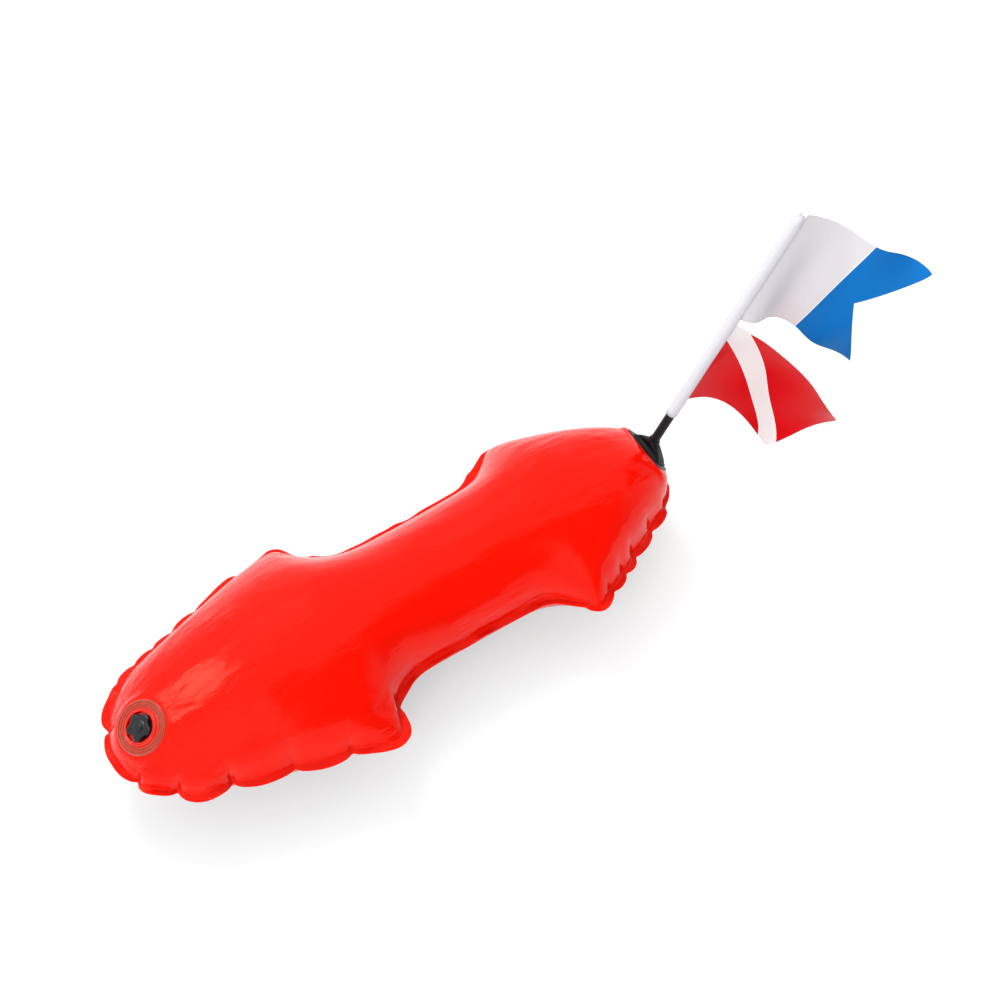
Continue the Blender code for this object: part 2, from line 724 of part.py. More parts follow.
class Valve:
    """Screw valve at the nose: soft flange, rigid seat, check membrane, seal and cap."""

    top = ON_SKIN + VALVE_FLANGE_THICK + VALVE_COLLAR_RISE
    ledge = top - SEAT_LEDGE_DEPTH
    tube_bottom = ledge - SEAT_TUBE_DEPTH
    head_bottom = ledge + 2 * GAP + 2 * ORING_CORD
    spider_top = tube_bottom + SPIDER_THICK

    def __init__(self, group, cutters, frame, materials):
        self.group = group
        self.cutters = cutters
        self.frame = frame
        self.materials = materials

    def flange(self):
        """Soft disc welded to the skin, with raised rings and a collar that grips the seat."""
        face = ON_SKIN + VALVE_FLANGE_THICK
        profile = [(VALVE_BORE_RADIUS, self.top), (VALVE_COLLAR_RADIUS - VALVE_RIB_HALF, self.top)]
        profile.append((VALVE_COLLAR_RADIUS, face))
        for radius in reversed(VALVE_RIB_RADII):
            profile.append((radius - VALVE_RIB_HALF, face))
            profile.append((radius, face + VALVE_RIB_RISE))
            profile.append((radius + VALVE_RIB_HALF, face))
        outer = VALVE_BORE_RADIUS + VALVE_SKIRT_WALL
        profile.extend([(VALVE_FLANGE_RADIUS, face - VALVE_FLANGE_THICK / 2), (VALVE_FLANGE_RADIUS, ON_SKIN)])
        profile.extend([(outer, ON_SKIN), (outer, ON_SKIN - VALVE_SKIRT_DEPTH)])
        profile.append((VALVE_BORE_RADIUS, ON_SKIN - VALVE_SKIRT_DEPTH))
        material = self.materials["flange"]
        turned("valve_flange", self.group, self.frame, material, profile, VALVE_SIDES, closed=True)

    def seat(self):
        """Rigid seat: a counterbore, a ledge for the seal, a threaded tube and a spider."""
        outer = SEAT_OUTER_RADIUS
        tube = SEAT_BORE_RADIUS + SEAT_TUBE_WALL
        under = self.ledge - SEAT_LEDGE_THICK
        profile = [
            (outer - SEAT_WALL, self.top), (outer, self.top), (outer, under), (tube, under),
            (tube, self.tube_bottom), (SEAT_BORE_RADIUS, self.tube_bottom),
            (SEAT_BORE_RADIUS, self.ledge), (outer - SEAT_WALL, self.ledge),
        ]
        material = self.materials["seat"]
        seat = turned("valve_seat", self.group, self.frame, material, profile, VALVE_SIDES, closed=True)
        rim = SEAT_BORE_RADIUS + SEAT_TUBE_WALL / 2
        outlines = [circle(rim, VALVE_SIDES), circle(MEMBRANE_STEM_RADIUS + SLIP, SPIDER_HOLE_SIDES)]
        sector = math.tau / SPIDER_ARMS
        for index in range(SPIDER_ARMS):
            outlines.append(self.window(index * sector, sector))
        height = self.tube_bottom + SPIDER_THICK / 2
        matrix = Matrix.Translation((0.0, 0.0, height))
        spider = flat_curve("spider", self.cutters, self.frame, None, outlines, SPIDER_THICK / 2, matrix)
        spider = baked(spider, self.cutters, self.materials["seat"])
        combine(seat, spider, "UNION")

    def window(self, start, sector):
        """Return one opening between two arms of the spider."""
        far = SEAT_BORE_RADIUS - SPIDER_ARM_HALF
        near = HUB_RADIUS
        far_turn = math.asin(SPIDER_ARM_HALF / far)
        near_turn = math.asin(SPIDER_ARM_HALF / near)
        points = arc((0.0, 0.0), far, start + far_turn, start + sector - far_turn, WINDOW_FAR_PARTS)
        points.extend(arc((0.0, 0.0), near, start + sector - near_turn, start + near_turn,
                          WINDOW_NEAR_PARTS))
        return points

    def membrane(self):
        """Rubber disc under the spider, its stem and bead passing through the hub."""
        face = self.tube_bottom - GAP
        bead = self.spider_top + MEMBRANE_TRAVEL + GAP
        profile = [
            (0.0, bead + MEMBRANE_BEAD_HEIGHT), (MEMBRANE_STEM_RADIUS, bead + MEMBRANE_BEAD_HEIGHT),
            (MEMBRANE_BEAD_RADIUS, bead), (MEMBRANE_STEM_RADIUS, bead), (MEMBRANE_STEM_RADIUS, face),
            (MEMBRANE_RADIUS, face), (MEMBRANE_RADIUS, face - MEMBRANE_THICK), (0.0, face - MEMBRANE_THICK),
        ]
        turned("valve_membrane", self.group, self.frame, self.materials["rubber"], profile, MEMBRANE_SIDES)

    def seal(self):
        """O-ring round the cap's plug, on the ledge of the seat."""
        major = SEAT_BORE_RADIUS - SLIP + GAP + ORING_CORD
        height = self.ledge + GAP + ORING_CORD
        ring = circle(ORING_CORD, ORING_CORD_SIDES, (major, height))
        ring.reverse()
        turned("cap_seal", self.group, self.frame, self.materials["rubber"], ring, ORING_SIDES, closed=True)

    def cap(self):
        """Lobed cap with a boss on its head and a hollow plug that screws into the seat."""
        outline = []
        for index in range(CAP_SIDES):
            angle = math.tau * index / CAP_SIDES
            radius = CAP_RADIUS + CAP_LOBE_RISE * math.cos(CAP_LOBES * (angle - CAP_PHASE))
            outline.append((radius * math.cos(angle), radius * math.sin(angle)))
        matrix = Matrix.Translation((0.0, 0.0, self.head_bottom + CAP_THICK / 2))
        half = CAP_THICK / 2
        head = flat_curve("valve_cap", self.group, self.frame, None, [outline], half, matrix, CAP_EDGE)
        head = baked(head, self.group, self.materials["black"])
        top = self.head_bottom + CAP_THICK
        plug = SEAT_BORE_RADIUS - SLIP
        core = [
            (0.0, top + CAP_BOSS_RISE), (CAP_BOSS_RADIUS - CAP_EDGE, top + CAP_BOSS_RISE),
            (CAP_BOSS_RADIUS, top + CAP_BOSS_RISE - CAP_EDGE), (CAP_BOSS_RADIUS, top - CAP_EDGE),
            (plug - CAP_EDGE, top - CAP_EDGE), (plug, self.head_bottom + CAP_EDGE),
            (plug, self.head_bottom - PLUG_DEPTH), (plug - PLUG_WALL, self.head_bottom - PLUG_DEPTH),
            (plug - PLUG_WALL, self.head_bottom + CAP_EDGE), (0.0, self.head_bottom + CAP_EDGE),
        ]
        body = turned("cap_core", self.cutters, self.frame, None, core, PLUG_SIDES)
        body = baked(body, self.cutters, self.materials["black"])
        hollow_profile = [
            (0.0, self.head_bottom + CAP_EDGE), (plug - PLUG_WALL, self.head_bottom + CAP_EDGE),
            (plug - PLUG_WALL, self.head_bottom - CAP_EDGE), (0.0, self.head_bottom - CAP_EDGE),
        ]
        hollow = turned("cap_hollow", self.cutters, self.frame, None, hollow_profile, PLUG_SIDES)
        hollow = baked(hollow, self.cutters, self.materials["black"])
        combine(head, hollow, "DIFFERENCE")
        combine(head, body, "UNION")

    def build(self):
        """Make every piece of the valve."""
        self.flange()
        self.seat()
        self.membrane()
        self.seal()
        self.cap()


class Mast:
    """Rubber boot on the tail, flexible stem, rod, tip and the sleeve that carries the flags."""

    def __init__(self, group, hull, mount, materials):
        self.group = group
        self.hull = hull
        self.mount = mount
        self.materials = materials
        self.direction = Vector((math.sin(MAST_LEAN), 0.0, math.cos(MAST_LEAN)))
        self.foot = mount.matrix_basis @ Vector((MAST_FOOT_SHIFT, 0.0, MAST_FOOT_RISE))
        self.aft = Vector((math.cos(MAST_LEAN), 0.0, -math.sin(MAST_LEAN)))
        self.axis = frame_empty("mast_axis", group, hull, self.foot, self.aft, self.direction)

    def patch(self):
        """Thin patch welded to the tail, wider in front than behind."""
        half = PATCH_LENGTH / 2
        outline = rounded([
            (-half, -PATCH_FRONT_HALF, PATCH_ROUND), (half, -PATCH_REAR_HALF, PATCH_ROUND),
            (half, PATCH_REAR_HALF, PATCH_ROUND), (-half, PATCH_FRONT_HALF, PATCH_ROUND),
        ], closed=True)
        matrix = Matrix.Translation((0.0, 0.0, ON_SKIN + PATCH_THICK / 2))
        flat_curve("mast_patch", self.group, self.mount, self.materials["black"], [outline],
                   PATCH_THICK / 2, matrix)

    def boot(self):
        """Stepped boot lofted from a wide plate to a round collar square to the mast."""
        inverse = self.mount.matrix_basis.inverted()
        foot = inverse @ self.foot
        mast = (inverse.to_3x3() @ self.direction).normalized()
        slant = Vector((mast.z, 0.0, -mast.x))
        across = Vector((0.0, 1.0, 0.0))
        along = Vector((1.0, 0.0, 0.0))
        base = ON_SKIN + PATCH_THICK + GAP
        rings = []

        def ring(centre, first, half_first, half_second, power):
            points = []
            for index in range(BOOT_SIDES):
                angle = math.tau * index / BOOT_SIDES
                cosine = math.cos(angle)
                sine = math.sin(angle)
                one = math.copysign(abs(cosine) ** (2 / power), cosine)
                two = math.copysign(abs(sine) ** (2 / power), sine)
                points.append(centre + first * one * half_first + across * two * half_second)
            rings.append(points)

        def step(low, high, length, width):
            for height, edge in ((low, 0.0), (high - BOOT_STEP_EDGE, 0.0), (high, BOOT_STEP_EDGE)):
                centre = Vector((BOOT_CENTRE, 0.0, height))
                ring(centre, along, length / 2 - edge, width / 2 - edge, BOOT_SQUARENESS)

        low = base + BOOT_PLATE_THICK
        step(base, low, BOOT_PLATE_LENGTH, BOOT_PLATE_WIDTH)
        for index in range(BOOT_STEPS):
            length = BOOT_BODY_LENGTH - BOOT_STEP_IN * index
            width = BOOT_BODY_WIDTH - BOOT_STEP_IN * index
            step(low, low + BOOT_STEP_HEIGHT, length, width)
            low += BOOT_STEP_HEIGHT
        top = foot + mast * COLLAR_RISE
        neck = top - mast * COLLAR_HEIGHT
        waist = (neck + Vector((BOOT_CENTRE, 0.0, low))) / 2
        tilt = (along + slant).normalized()
        half_length = (length / 2 + COLLAR_RADIUS) / 2
        half_width = (width / 2 + COLLAR_RADIUS) / 2
        ring(waist, tilt, half_length, half_width, BOOT_NECK_SQUARENESS)
        bore = STEM_FOOT_RADIUS + GAP
        ring(neck, slant, COLLAR_RADIUS, COLLAR_RADIUS, 2.0)
        ring(top - mast * BOOT_STEP_EDGE, slant, COLLAR_RADIUS, COLLAR_RADIUS, 2.0)
        ring(top, slant, COLLAR_RADIUS - BOOT_STEP_EDGE, COLLAR_RADIUS - BOOT_STEP_EDGE, 2.0)
        ring(top, slant, bore, bore, 2.0)
        ring(foot - mast * SOCKET_DEPTH, slant, bore, bore, 2.0)
        place(loft(rings, "mast_boot"), "mast_boot", self.group, self.mount, self.materials["rubber"])

    def stem(self):
        """Flexible stem pressed in the collar, with a bore for the rod."""
        bottom = GAP - SOCKET_DEPTH
        bore = ROD_RADIUS + GAP
        floor = STEM_LENGTH - STEM_BORE_DEPTH
        profile = [
            (bore, STEM_LENGTH), (STEM_RADIUS - BOOT_STEP_EDGE, STEM_LENGTH),
            (STEM_RADIUS, STEM_LENGTH - BOOT_STEP_EDGE), (STEM_RADIUS, STEM_FOOT_TAPER),
            (STEM_FOOT_RADIUS, COLLAR_RISE + GAP), (STEM_FOOT_RADIUS, bottom), (0.0, bottom),
        ]
        inner = [(0.0, floor), (bore, floor)]
        turned("mast_stem", self.group, self.axis, self.materials["rubber"], inner + profile, STEM_SIDES)

    def rod(self):
        """Slim rod that plugs into the stem and carries the flags."""
        bottom = STEM_LENGTH - STEM_BORE_DEPTH + GAP
        profile = [
            (0.0, ROD_TOP), (ROD_RADIUS - BOOT_STEP_EDGE, ROD_TOP), (ROD_RADIUS, ROD_TOP - BOOT_STEP_EDGE),
            (ROD_RADIUS, bottom + BOOT_STEP_EDGE), (ROD_RADIUS - BOOT_STEP_EDGE, bottom), (0.0, bottom),
        ]
        turned("mast_rod", self.group, self.axis, self.materials["rod"], profile, ROD_SIDES)

    def tip(self):
        """Soft round tip on the rod, inside the closed end of the sleeve."""
        bore = ROD_RADIUS + GAP
        bottom = ROD_TOP - TIP_WALL_REACH
        dome = arc((0.0, ROD_TOP + GAP), TIP_RADIUS, math.pi / 2, 0.0, TIP_DOME_PARTS)
        profile = [(0.0, ROD_TOP + GAP + TIP_RADIUS), *dome[1:], (TIP_RADIUS, bottom), (bore, bottom),
                   (bore, ROD_TOP + GAP), (0.0, ROD_TOP + GAP)]
        turned("mast_tip", self.group, self.axis, self.materials["rubber"], profile, ROD_SIDES)

    def sleeve_radius(self, along):
        """Return the sleeve's outer radius at a place along the mast."""
        share = (along - SLEEVE_BOTTOM) / (SLEEVE_TOP - SLEEVE_BOTTOM)
        bottom = SLEEVE_BORE_RADIUS + SLEEVE_WALL
        return bottom + (SLEEVE_TOP_RADIUS - bottom) * share

    def sleeve(self):
        """White sleeve, open below and closed over the tip."""
        shoulder = SLEEVE_TOP - SLEEVE_TOP_RADIUS / 2
        wide = self.sleeve_radius(shoulder)
        dome = (wide * SLEEVE_DOME_SHARE, SLEEVE_TOP - wide * SLEEVE_DOME_FALL)
        profile = [
            (0.0, SLEEVE_TOP), dome, (wide, shoulder),
            (self.sleeve_radius(SLEEVE_BOTTOM), SLEEVE_BOTTOM), (SLEEVE_BORE_RADIUS, SLEEVE_BOTTOM),
            (wide - SLEEVE_WALL, shoulder - SLEEVE_WALL / 2),
            (dome[0] - SLEEVE_WALL, dome[1] - SLEEVE_WALL), (0.0, SLEEVE_TOP - SLEEVE_WALL),
        ]
        turned("flag_sleeve", self.group, self.axis, self.materials["sleeve"], profile, STEM_SIDES)

    def flag(self, name, material, top, hoist, fly, notch, headings):
        """One flag as a curved sheet from the sleeve outwards, with its thickness."""
        columns = np.linspace(0.0, 1.0, FLAG_COLUMNS + 1)
        fine = np.linspace(0.0, fly, 8 * FLAG_COLUMNS + 1)
        bm = bmesh.new()
        grid = []
        for row in range(FLAG_ROWS + 1):
            level = row / FLAG_ROWS
            height = top - hoist + hoist * level
            angles = np.radians(heading(headings, level, fine / fly))
            start = self.sleeve_radius(height) + FLAG_OFFSET
            step = fine[1]
            x = start * math.cos(FLAG_HANG) + np.concatenate([[0.0], np.cumsum(np.cos(angles[:-1])) * step])
            y = start * math.sin(FLAG_HANG) + np.concatenate([[0.0], np.cumsum(np.sin(angles[:-1])) * step])
            reach = columns * (fly - notch * (1 - abs(2 * level - 1)))
            places = zip(np.interp(reach, fine, x), np.interp(reach, fine, y))
            grid.append([bm.verts.new((u, -v, height)) for u, v in places])
        for low, high in zip(grid, grid[1:]):
            for i in range(FLAG_COLUMNS):
                bm.faces.new((low[i], low[i + 1], high[i + 1], high[i]))
        item = place(open_mesh(bm, name), name, self.group, self.axis, material)
        cloth = item.modifiers.new("cloth", "SOLIDIFY")
        cloth.thickness = FLAG_THICK
        cloth.offset = 0.0

    def build(self):
        """Make every piece of the mast and both flags."""
        self.patch()
        self.boot()
        self.stem()
        self.rod()
        self.tip()
        self.sleeve()
        alpha = self.materials["alpha"]
        self.flag("alpha_flag", alpha, ALPHA_TOP, ALPHA_HOIST, ALPHA_FLY, ALPHA_NOTCH, ALPHA_HEADINGS)
        diver = self.materials["diver"]
        self.flag("diver_flag", diver, DIVER_TOP, DIVER_HOIST, DIVER_FLY, 0.0, DIVER_HEADINGS)


def heading(headings, level, shares):
    """Return a flag's heading in degrees at a level from 0 to 1 and at shares of its fly."""
    bottom, middle, top = (np.interp(shares, np.linspace(0.0, 1.0, len(row)), row) for row in headings)
    low = bottom * (1 - level) * (1 - 2 * level)
    high = top * level * (2 * level - 1)
    return low + middle * 4 * level * (1 - level) + high


def loft(rings, name):
    """Bridge rings of equal point counts and close both ends."""
    bm = bmesh.new()
    rows = [[bm.verts.new(point) for point in ring] for ring in rings]
    count = len(rows[0])
    for low, high in zip(rows, rows[1:]):
        for i in range(count):
            j = (i + 1) % count
            bm.faces.new((low[i], low[j], high[j], high[i]))
    bm.faces.new(list(reversed(rows[0])))
    bm.faces.new(rows[-1])
    return new_mesh(bm, name)


class TowRing:
    """A welded patch, a webbing loop and the D-ring that hangs in it."""

    def __init__(self, group, hull, frame, prefix, materials):
        self.group = group
        self.hull = hull
        self.frame = frame
        self.prefix = prefix
        self.materials = materials
        self.web_base = ON_SKIN + RING_PATCH_THICK + GAP
        self.loop_radius = RING_WIRE_RADIUS + SLIP
        self.axis_height = self.web_base + WEB_THICK + self.loop_radius

    def patch(self):
        """Round welded patch with a chamfered rim."""
        top = ON_SKIN + RING_PATCH_THICK
        profile = [
            (0.0, top), (RING_PATCH_RADIUS - RING_PATCH_THICK, top),
            (RING_PATCH_RADIUS, ON_SKIN), (0.0, ON_SKIN),
        ]
        turned(self.prefix + "_patch", self.group, self.frame, self.materials["pvc"], profile,
               RING_PATCH_SIDES)

    def webbing(self):
        """Webbing laid flat on the patch with a loop in its middle for the ring."""
        outer = self.loop_radius + WEB_THICK
        centre = (0.0, WEB_THICK + self.loop_radius)
        drop = math.asin((centre[1] - WEB_THICK) / outer) * WEB_LOOP_TUCK
        outline = [(-WEB_REACH, 0.0), (WEB_REACH, 0.0), (WEB_REACH, WEB_THICK)]
        outline.append((outer + WEB_THICK / 2, WEB_THICK))
        outline.extend(arc(centre, outer, -drop, math.pi + drop, WEB_LOOP_PARTS))
        outline.append((-outer - WEB_THICK / 2, WEB_THICK))
        outline.append((-WEB_REACH, WEB_THICK))
        hole = circle(self.loop_radius, WEB_HOLE_SIDES, centre)
        matrix = Matrix.Translation((0.0, 0.0, self.web_base)) @ Matrix.Rotation(math.pi / 2, 4, "X")
        flat_curve(self.prefix + "_webbing", self.group, self.frame, self.materials["webbing"],
                   [outline, hole], WEB_WIDTH / 2, matrix)

    def ring(self):
        """D-ring hanging straight down, its straight bar in the webbing loop."""
        frame = self.frame.matrix_basis
        pivot = frame @ Vector((0.0, 0.0, self.axis_height))
        bar = (frame.to_3x3() @ Vector((0.0, 1.0, 0.0))).normalized()
        face = bar.cross((0.0, 0.0, -1.0))
        hang = frame_empty(self.prefix + "_axis", self.group, self.hull, pivot, bar, face)
        half = RING_INNER_WIDTH / 2 + RING_WIRE_RADIUS
        bow = RING_DEPTH - half
        parts = RING_CORNER_PARTS
        points = arc((half - RING_CORNER, RING_CORNER), RING_CORNER, -math.pi / 2, 0.0, parts)
        points.extend(arc((0.0, bow), half, 0.0, math.pi, RING_BOW_PARTS))
        points.extend(arc((RING_CORNER - half, RING_CORNER), RING_CORNER, math.pi, 1.5 * math.pi, parts))
        curve = bpy.data.curves.new(self.prefix + "_ring", "CURVE")
        curve.dimensions = "3D"
        curve.bevel_depth = RING_WIRE_RADIUS
        curve.bevel_resolution = 2
        spline = curve.splines.new("POLY")
        spline.points.add(len(points) - 1)
        for point, (u, v) in zip(spline.points, points):
            point.co = (u, v, 0.0, 1.0)
        spline.use_cyclic_u = True
        place(curve, self.prefix + "_ring", self.group, hang, self.materials["black"])

    def build(self):
        """Make the patch, the webbing and the ring."""
        self.patch()
        self.webbing()
        self.ring()


def main():
    """Build the float."""
    clear_scene()
    group = make_collection("dive_float_buoy")
    cutters = make_collection("cutters")
    materials = {
        "pvc": make_material("float_pvc", (0.93, 0.035, 0.012), 0.22),
        "flange": make_material("valve_soft_pvc", (0.80, 0.20, 0.09), 0.25),
        "seat": make_material("valve_red_plastic", (0.85, 0.03, 0.015), 0.2),
        "black": make_material("black_plastic", (0.02, 0.022, 0.028), 0.4),
        "rubber": make_material("black_rubber", (0.018, 0.018, 0.02), 0.55),
        "webbing": make_material("black_webbing", (0.015, 0.015, 0.017), 0.8),
        "rod": make_material("mast_rod_plastic", (0.03, 0.03, 0.032), 0.35),
        "sleeve": make_material("white_flag_vinyl", (0.82, 0.81, 0.83), 0.45),
        "alpha": make_material("white_blue_vinyl", (0.10, 0.36, 0.72), 0.45),
        "diver": make_material("red_white_vinyl", (0.82, 0.02, 0.03), 0.45),
    }
    hull = place(None, "hull", group, matrix=Matrix.Translation((-CHEST_X, 0.0, SEAM_HEIGHT)))

    lower_points = smooth_points(BELLY_BULGE)
    valve_pad = valve_seat_pad()
    mount_normal = (math.sin(MOUNT_SLOPE), 0.0, math.cos(MOUNT_SLOPE))
    mount_x = LENGTH - MOUNT_FROM_TAIL
    mount_height = float(crown(mount_x)) - MOUNT_SINK
    mount_pad = Pad((mount_x, 0.0, mount_height), mount_normal, PATCH_LENGTH / 2 + SLIP,
                    PATCH_FRONT_HALF + SLIP, PATCH_REAR_HALF + SLIP, MOUNT_SQUARENESS, MOUNT_BLEND)
    hole_radius = VALVE_BORE_RADIUS + VALVE_SKIRT_WALL + SLIP
    hole = Pad(valve_pad.origin, valve_pad.normal, hole_radius, hole_radius)
    ring_places = {
        "nose": (NOSE_RING_X, 0.0),
        "front": (FRONT_RING_X, FRONT_RING_Y),
        "rear": (REAR_RING_X, REAR_RING_Y),
    }
    ring_pads = {name: tangent_pad(lower_points, x, y, RING_PATCH_RADIUS, RING_PATCH_SINK, RING_PATCH_BLEND)
                 for name, (x, y) in ring_places.items()}
    Panel(0.0, math.inf, [valve_pad, mount_pad], hole).build("upper_panel", 1, group, hull, materials["pvc"])
    down = (0.0, 0.0, 1.0)
    rest_pads = [Pad((x, 0.0, REST_DEPTH), down, REST_LENGTH_HALF, REST_WIDTH_HALF, blend=REST_BLEND)
                 for x in (CHEST_X, RUMP_X)]
    Panel(BELLY_BULGE, REST_DEPTH, [*ring_pads.values(), *rest_pads]).build(
        "lower_panel", -1, group, hull, materials["pvc"])

    valve_frame = pad_frame("valve_axis", group, hull, valve_pad, 1)
    Valve(group, cutters, valve_frame, materials).build()
    mount_frame = pad_frame("mast_mount", group, hull, mount_pad, 1)
    Mast(group, hull, mount_frame, materials).build()
    for name, pad in ring_pads.items():
        sides = {"": 1} if name == "nose" else {"_left": 1, "_right": -1}
        for label, mirror in sides.items():
            frame = pad_frame(name + label + "_seat", group, hull, pad, -1, mirror)
            TowRing(group, hull, frame, name + label, materials).build()


main()
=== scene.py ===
"""Looks of an inflatable dive float: puckered skin, screw valve, mast boot, mast, flags and tow rings.

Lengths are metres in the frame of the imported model: +Z is up, the float rests on z = 0, its nose is
at low X, and the mast leans back over the tail. Angles in the fields of the classes are degrees.
"""

import json
import logging
import math
from dataclasses import dataclass, field
from enum import Enum
from functools import cached_property

import bmesh
import bpy
import numpy as np
from bmesh.types import BMEdge, BMesh, BMVert
from bpy.types import ID, Material, Mesh, Node, NodeSocket, Object
from mathutils import Matrix, Vector


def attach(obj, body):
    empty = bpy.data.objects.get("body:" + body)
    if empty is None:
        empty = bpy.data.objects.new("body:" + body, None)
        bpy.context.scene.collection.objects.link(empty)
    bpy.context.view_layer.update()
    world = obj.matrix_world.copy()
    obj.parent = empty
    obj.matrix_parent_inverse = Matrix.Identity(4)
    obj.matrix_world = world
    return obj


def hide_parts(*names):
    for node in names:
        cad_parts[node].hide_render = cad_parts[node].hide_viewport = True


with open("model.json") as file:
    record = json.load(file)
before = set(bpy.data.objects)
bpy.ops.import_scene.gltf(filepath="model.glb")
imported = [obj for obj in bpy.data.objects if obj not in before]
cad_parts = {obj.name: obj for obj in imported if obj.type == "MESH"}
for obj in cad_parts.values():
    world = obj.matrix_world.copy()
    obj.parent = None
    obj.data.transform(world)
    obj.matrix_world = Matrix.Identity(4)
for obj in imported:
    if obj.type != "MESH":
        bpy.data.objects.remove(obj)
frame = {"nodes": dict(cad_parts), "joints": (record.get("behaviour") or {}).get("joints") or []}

Colour = tuple[float, float, float]
Point = tuple[float, float]

log = logging.getLogger("float")
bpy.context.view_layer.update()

# The photograph's view
CAMERA_PLACE = Vector((-0.4958, -1.2046, 2.5222))
CAMERA_HEADING = math.radians(32.69)
CAMERA_DIP = math.radians(58.2)
FOCAL_PIXELS = 2263.0
FRAME_PIXELS = 1000.0
SENSOR_MM = 36.0

# Skin of the hull, clearance between pieces, and the sharpest edge that is shaded smooth
SKIN = 0.0006
GAP = 0.0003
SMOOTH = math.radians(38)

# Ends of the line that the hull's surface is outside of, along X
HULL_CORE = (-0.20, 0.42)
RING_PLACES = ("nose", "front_left", "front_right", "rear_left", "rear_right")

# UV units for a metre of a flat cut
CUT_SCALE = 5.0

# Cuts of the flags, and the places of their top edges along the mast
ALPHA_HOIST = 0.1645
ALPHA_FLY = 0.1794
ALPHA_NOTCH = 0.0534
ALPHA_SPLIT = 0.0956
ALPHA_TOP = 0.3738
DIVER_HOIST = 0.1445
DIVER_FLY = 0.1790
DIVER_RUN = 0.160
DIVER_RISE = 0.1214
DIVER_FLY_RISE = 0.1325
DIVER_TOP = 0.1993
PRINT_LINE = 0.0013
PRINT_BLUR = 0.00015
TOP_BORDER = 0.0028

# Headings of the flags' bottom edge, middle and top edge
ALPHA_HEADINGS = (
    (45, 18, -14, -18, 2, 30, 62, 89, 75, 37, 31, 50, 80),
    (26, 8, -1, 9, 35, 62, 79, 80, 64, 50, 49, 60, 78),
    (11, 19, 31, 43, 58, 68, 61, 33, 13, 23, 46, 77, 112),
)
DIVER_HEADINGS = (
    (-66, -31, -7, -2, 5, 19, 38, 59, 77, 90, 97, 95, 89),
    (-34, -18, 4, 26, 43, 58, 74, 81, 79, 75, 69, 66, 64),
    (35, 46, 55, 69, 72, 72, 77, 86, 97, 104, 103, 100, 96),
)


class Side(Enum):
    """Which of the two welded panels a piece is."""

    UPPER = 1
    LOWER = -1


class Print(Enum):
    """Pattern printed on a flag."""

    SWALLOWTAIL = "white hoist and blue fly"
    DIAGONAL = "red with a white diagonal"


def linear(red: int, green: int, blue: int) -> Colour:
    """Turn display values from 0 to 255 into linear light.

    Args:
        red: Red as it shows on a display.
        green: Green as it shows on a display.
        blue: Blue as it shows on a display.

    Returns:
        The three linear values.
    """
    shares = (value / 255 for value in (red, green, blue))
    return tuple(s / 12.92 if s <= 0.04045 else ((s + 0.055) / 1.055) ** 2.4 for s in shares)


def assign(target: object, **values: object) -> object:
    """Set properties of a thing by their names and return it."""
    for key, value in values.items():
        setattr(target, key, value)
    return target


class Nodes:
    """A node tree that is being wired."""

    def __init__(self, owner: ID) -> None:
        """Start on the nodes of a material or a world."""
        owner.use_nodes = True
        self.tree = owner.node_tree

    def feed(self, node: Node, key: str | int, value: object) -> None:
        """Set or link one input of a node."""
        if isinstance(value, NodeSocket):
            self.tree.links.new(value, node.inputs[key])
        else:
            node.inputs[key].default_value = value

    def add(self, kind: str, inputs: dict | None = None, **settings: object) -> Node:
        """Add a node.

        Args:
            kind: Blender's name of the node type.
            inputs: Values or sockets for its inputs, by name or index.
            **settings: Properties of the node.

        Returns:
            The new node.
        """
        node = assign(self.tree.nodes.new(kind), **settings)
        for key, value in (inputs or {}).items():
            self.feed(node, key, value)
        return node

    def math(self, operation: str, *values: object) -> NodeSocket:
        """Return the result of a math node on values or sockets."""
        return self.add("ShaderNodeMath", dict(enumerate(values)), operation=operation).outputs[0]

    def spread(self, value: NodeSocket, low: float, high: float, start: float = 0.0,
               end: float = 1.0) -> NodeSocket:
        """Map a value from start..end to low..high, smoothly and within bounds."""
        return self.add("ShaderNodeMapRange", {0: value, 1: start, 2: end, 3: low, 4: high},
                        interpolation_type="SMOOTHSTEP").outputs[0]

    def rays(self, first: str, *others: str) -> NodeSocket:
        """Return 1 for rays of any of the kinds that are named as in the Light Path node."""
        outputs = self.add("ShaderNodeLightPath").outputs
        seen = outputs[first]
        for other in others:
            seen = self.math("MAXIMUM", seen, outputs[other])
        return seen


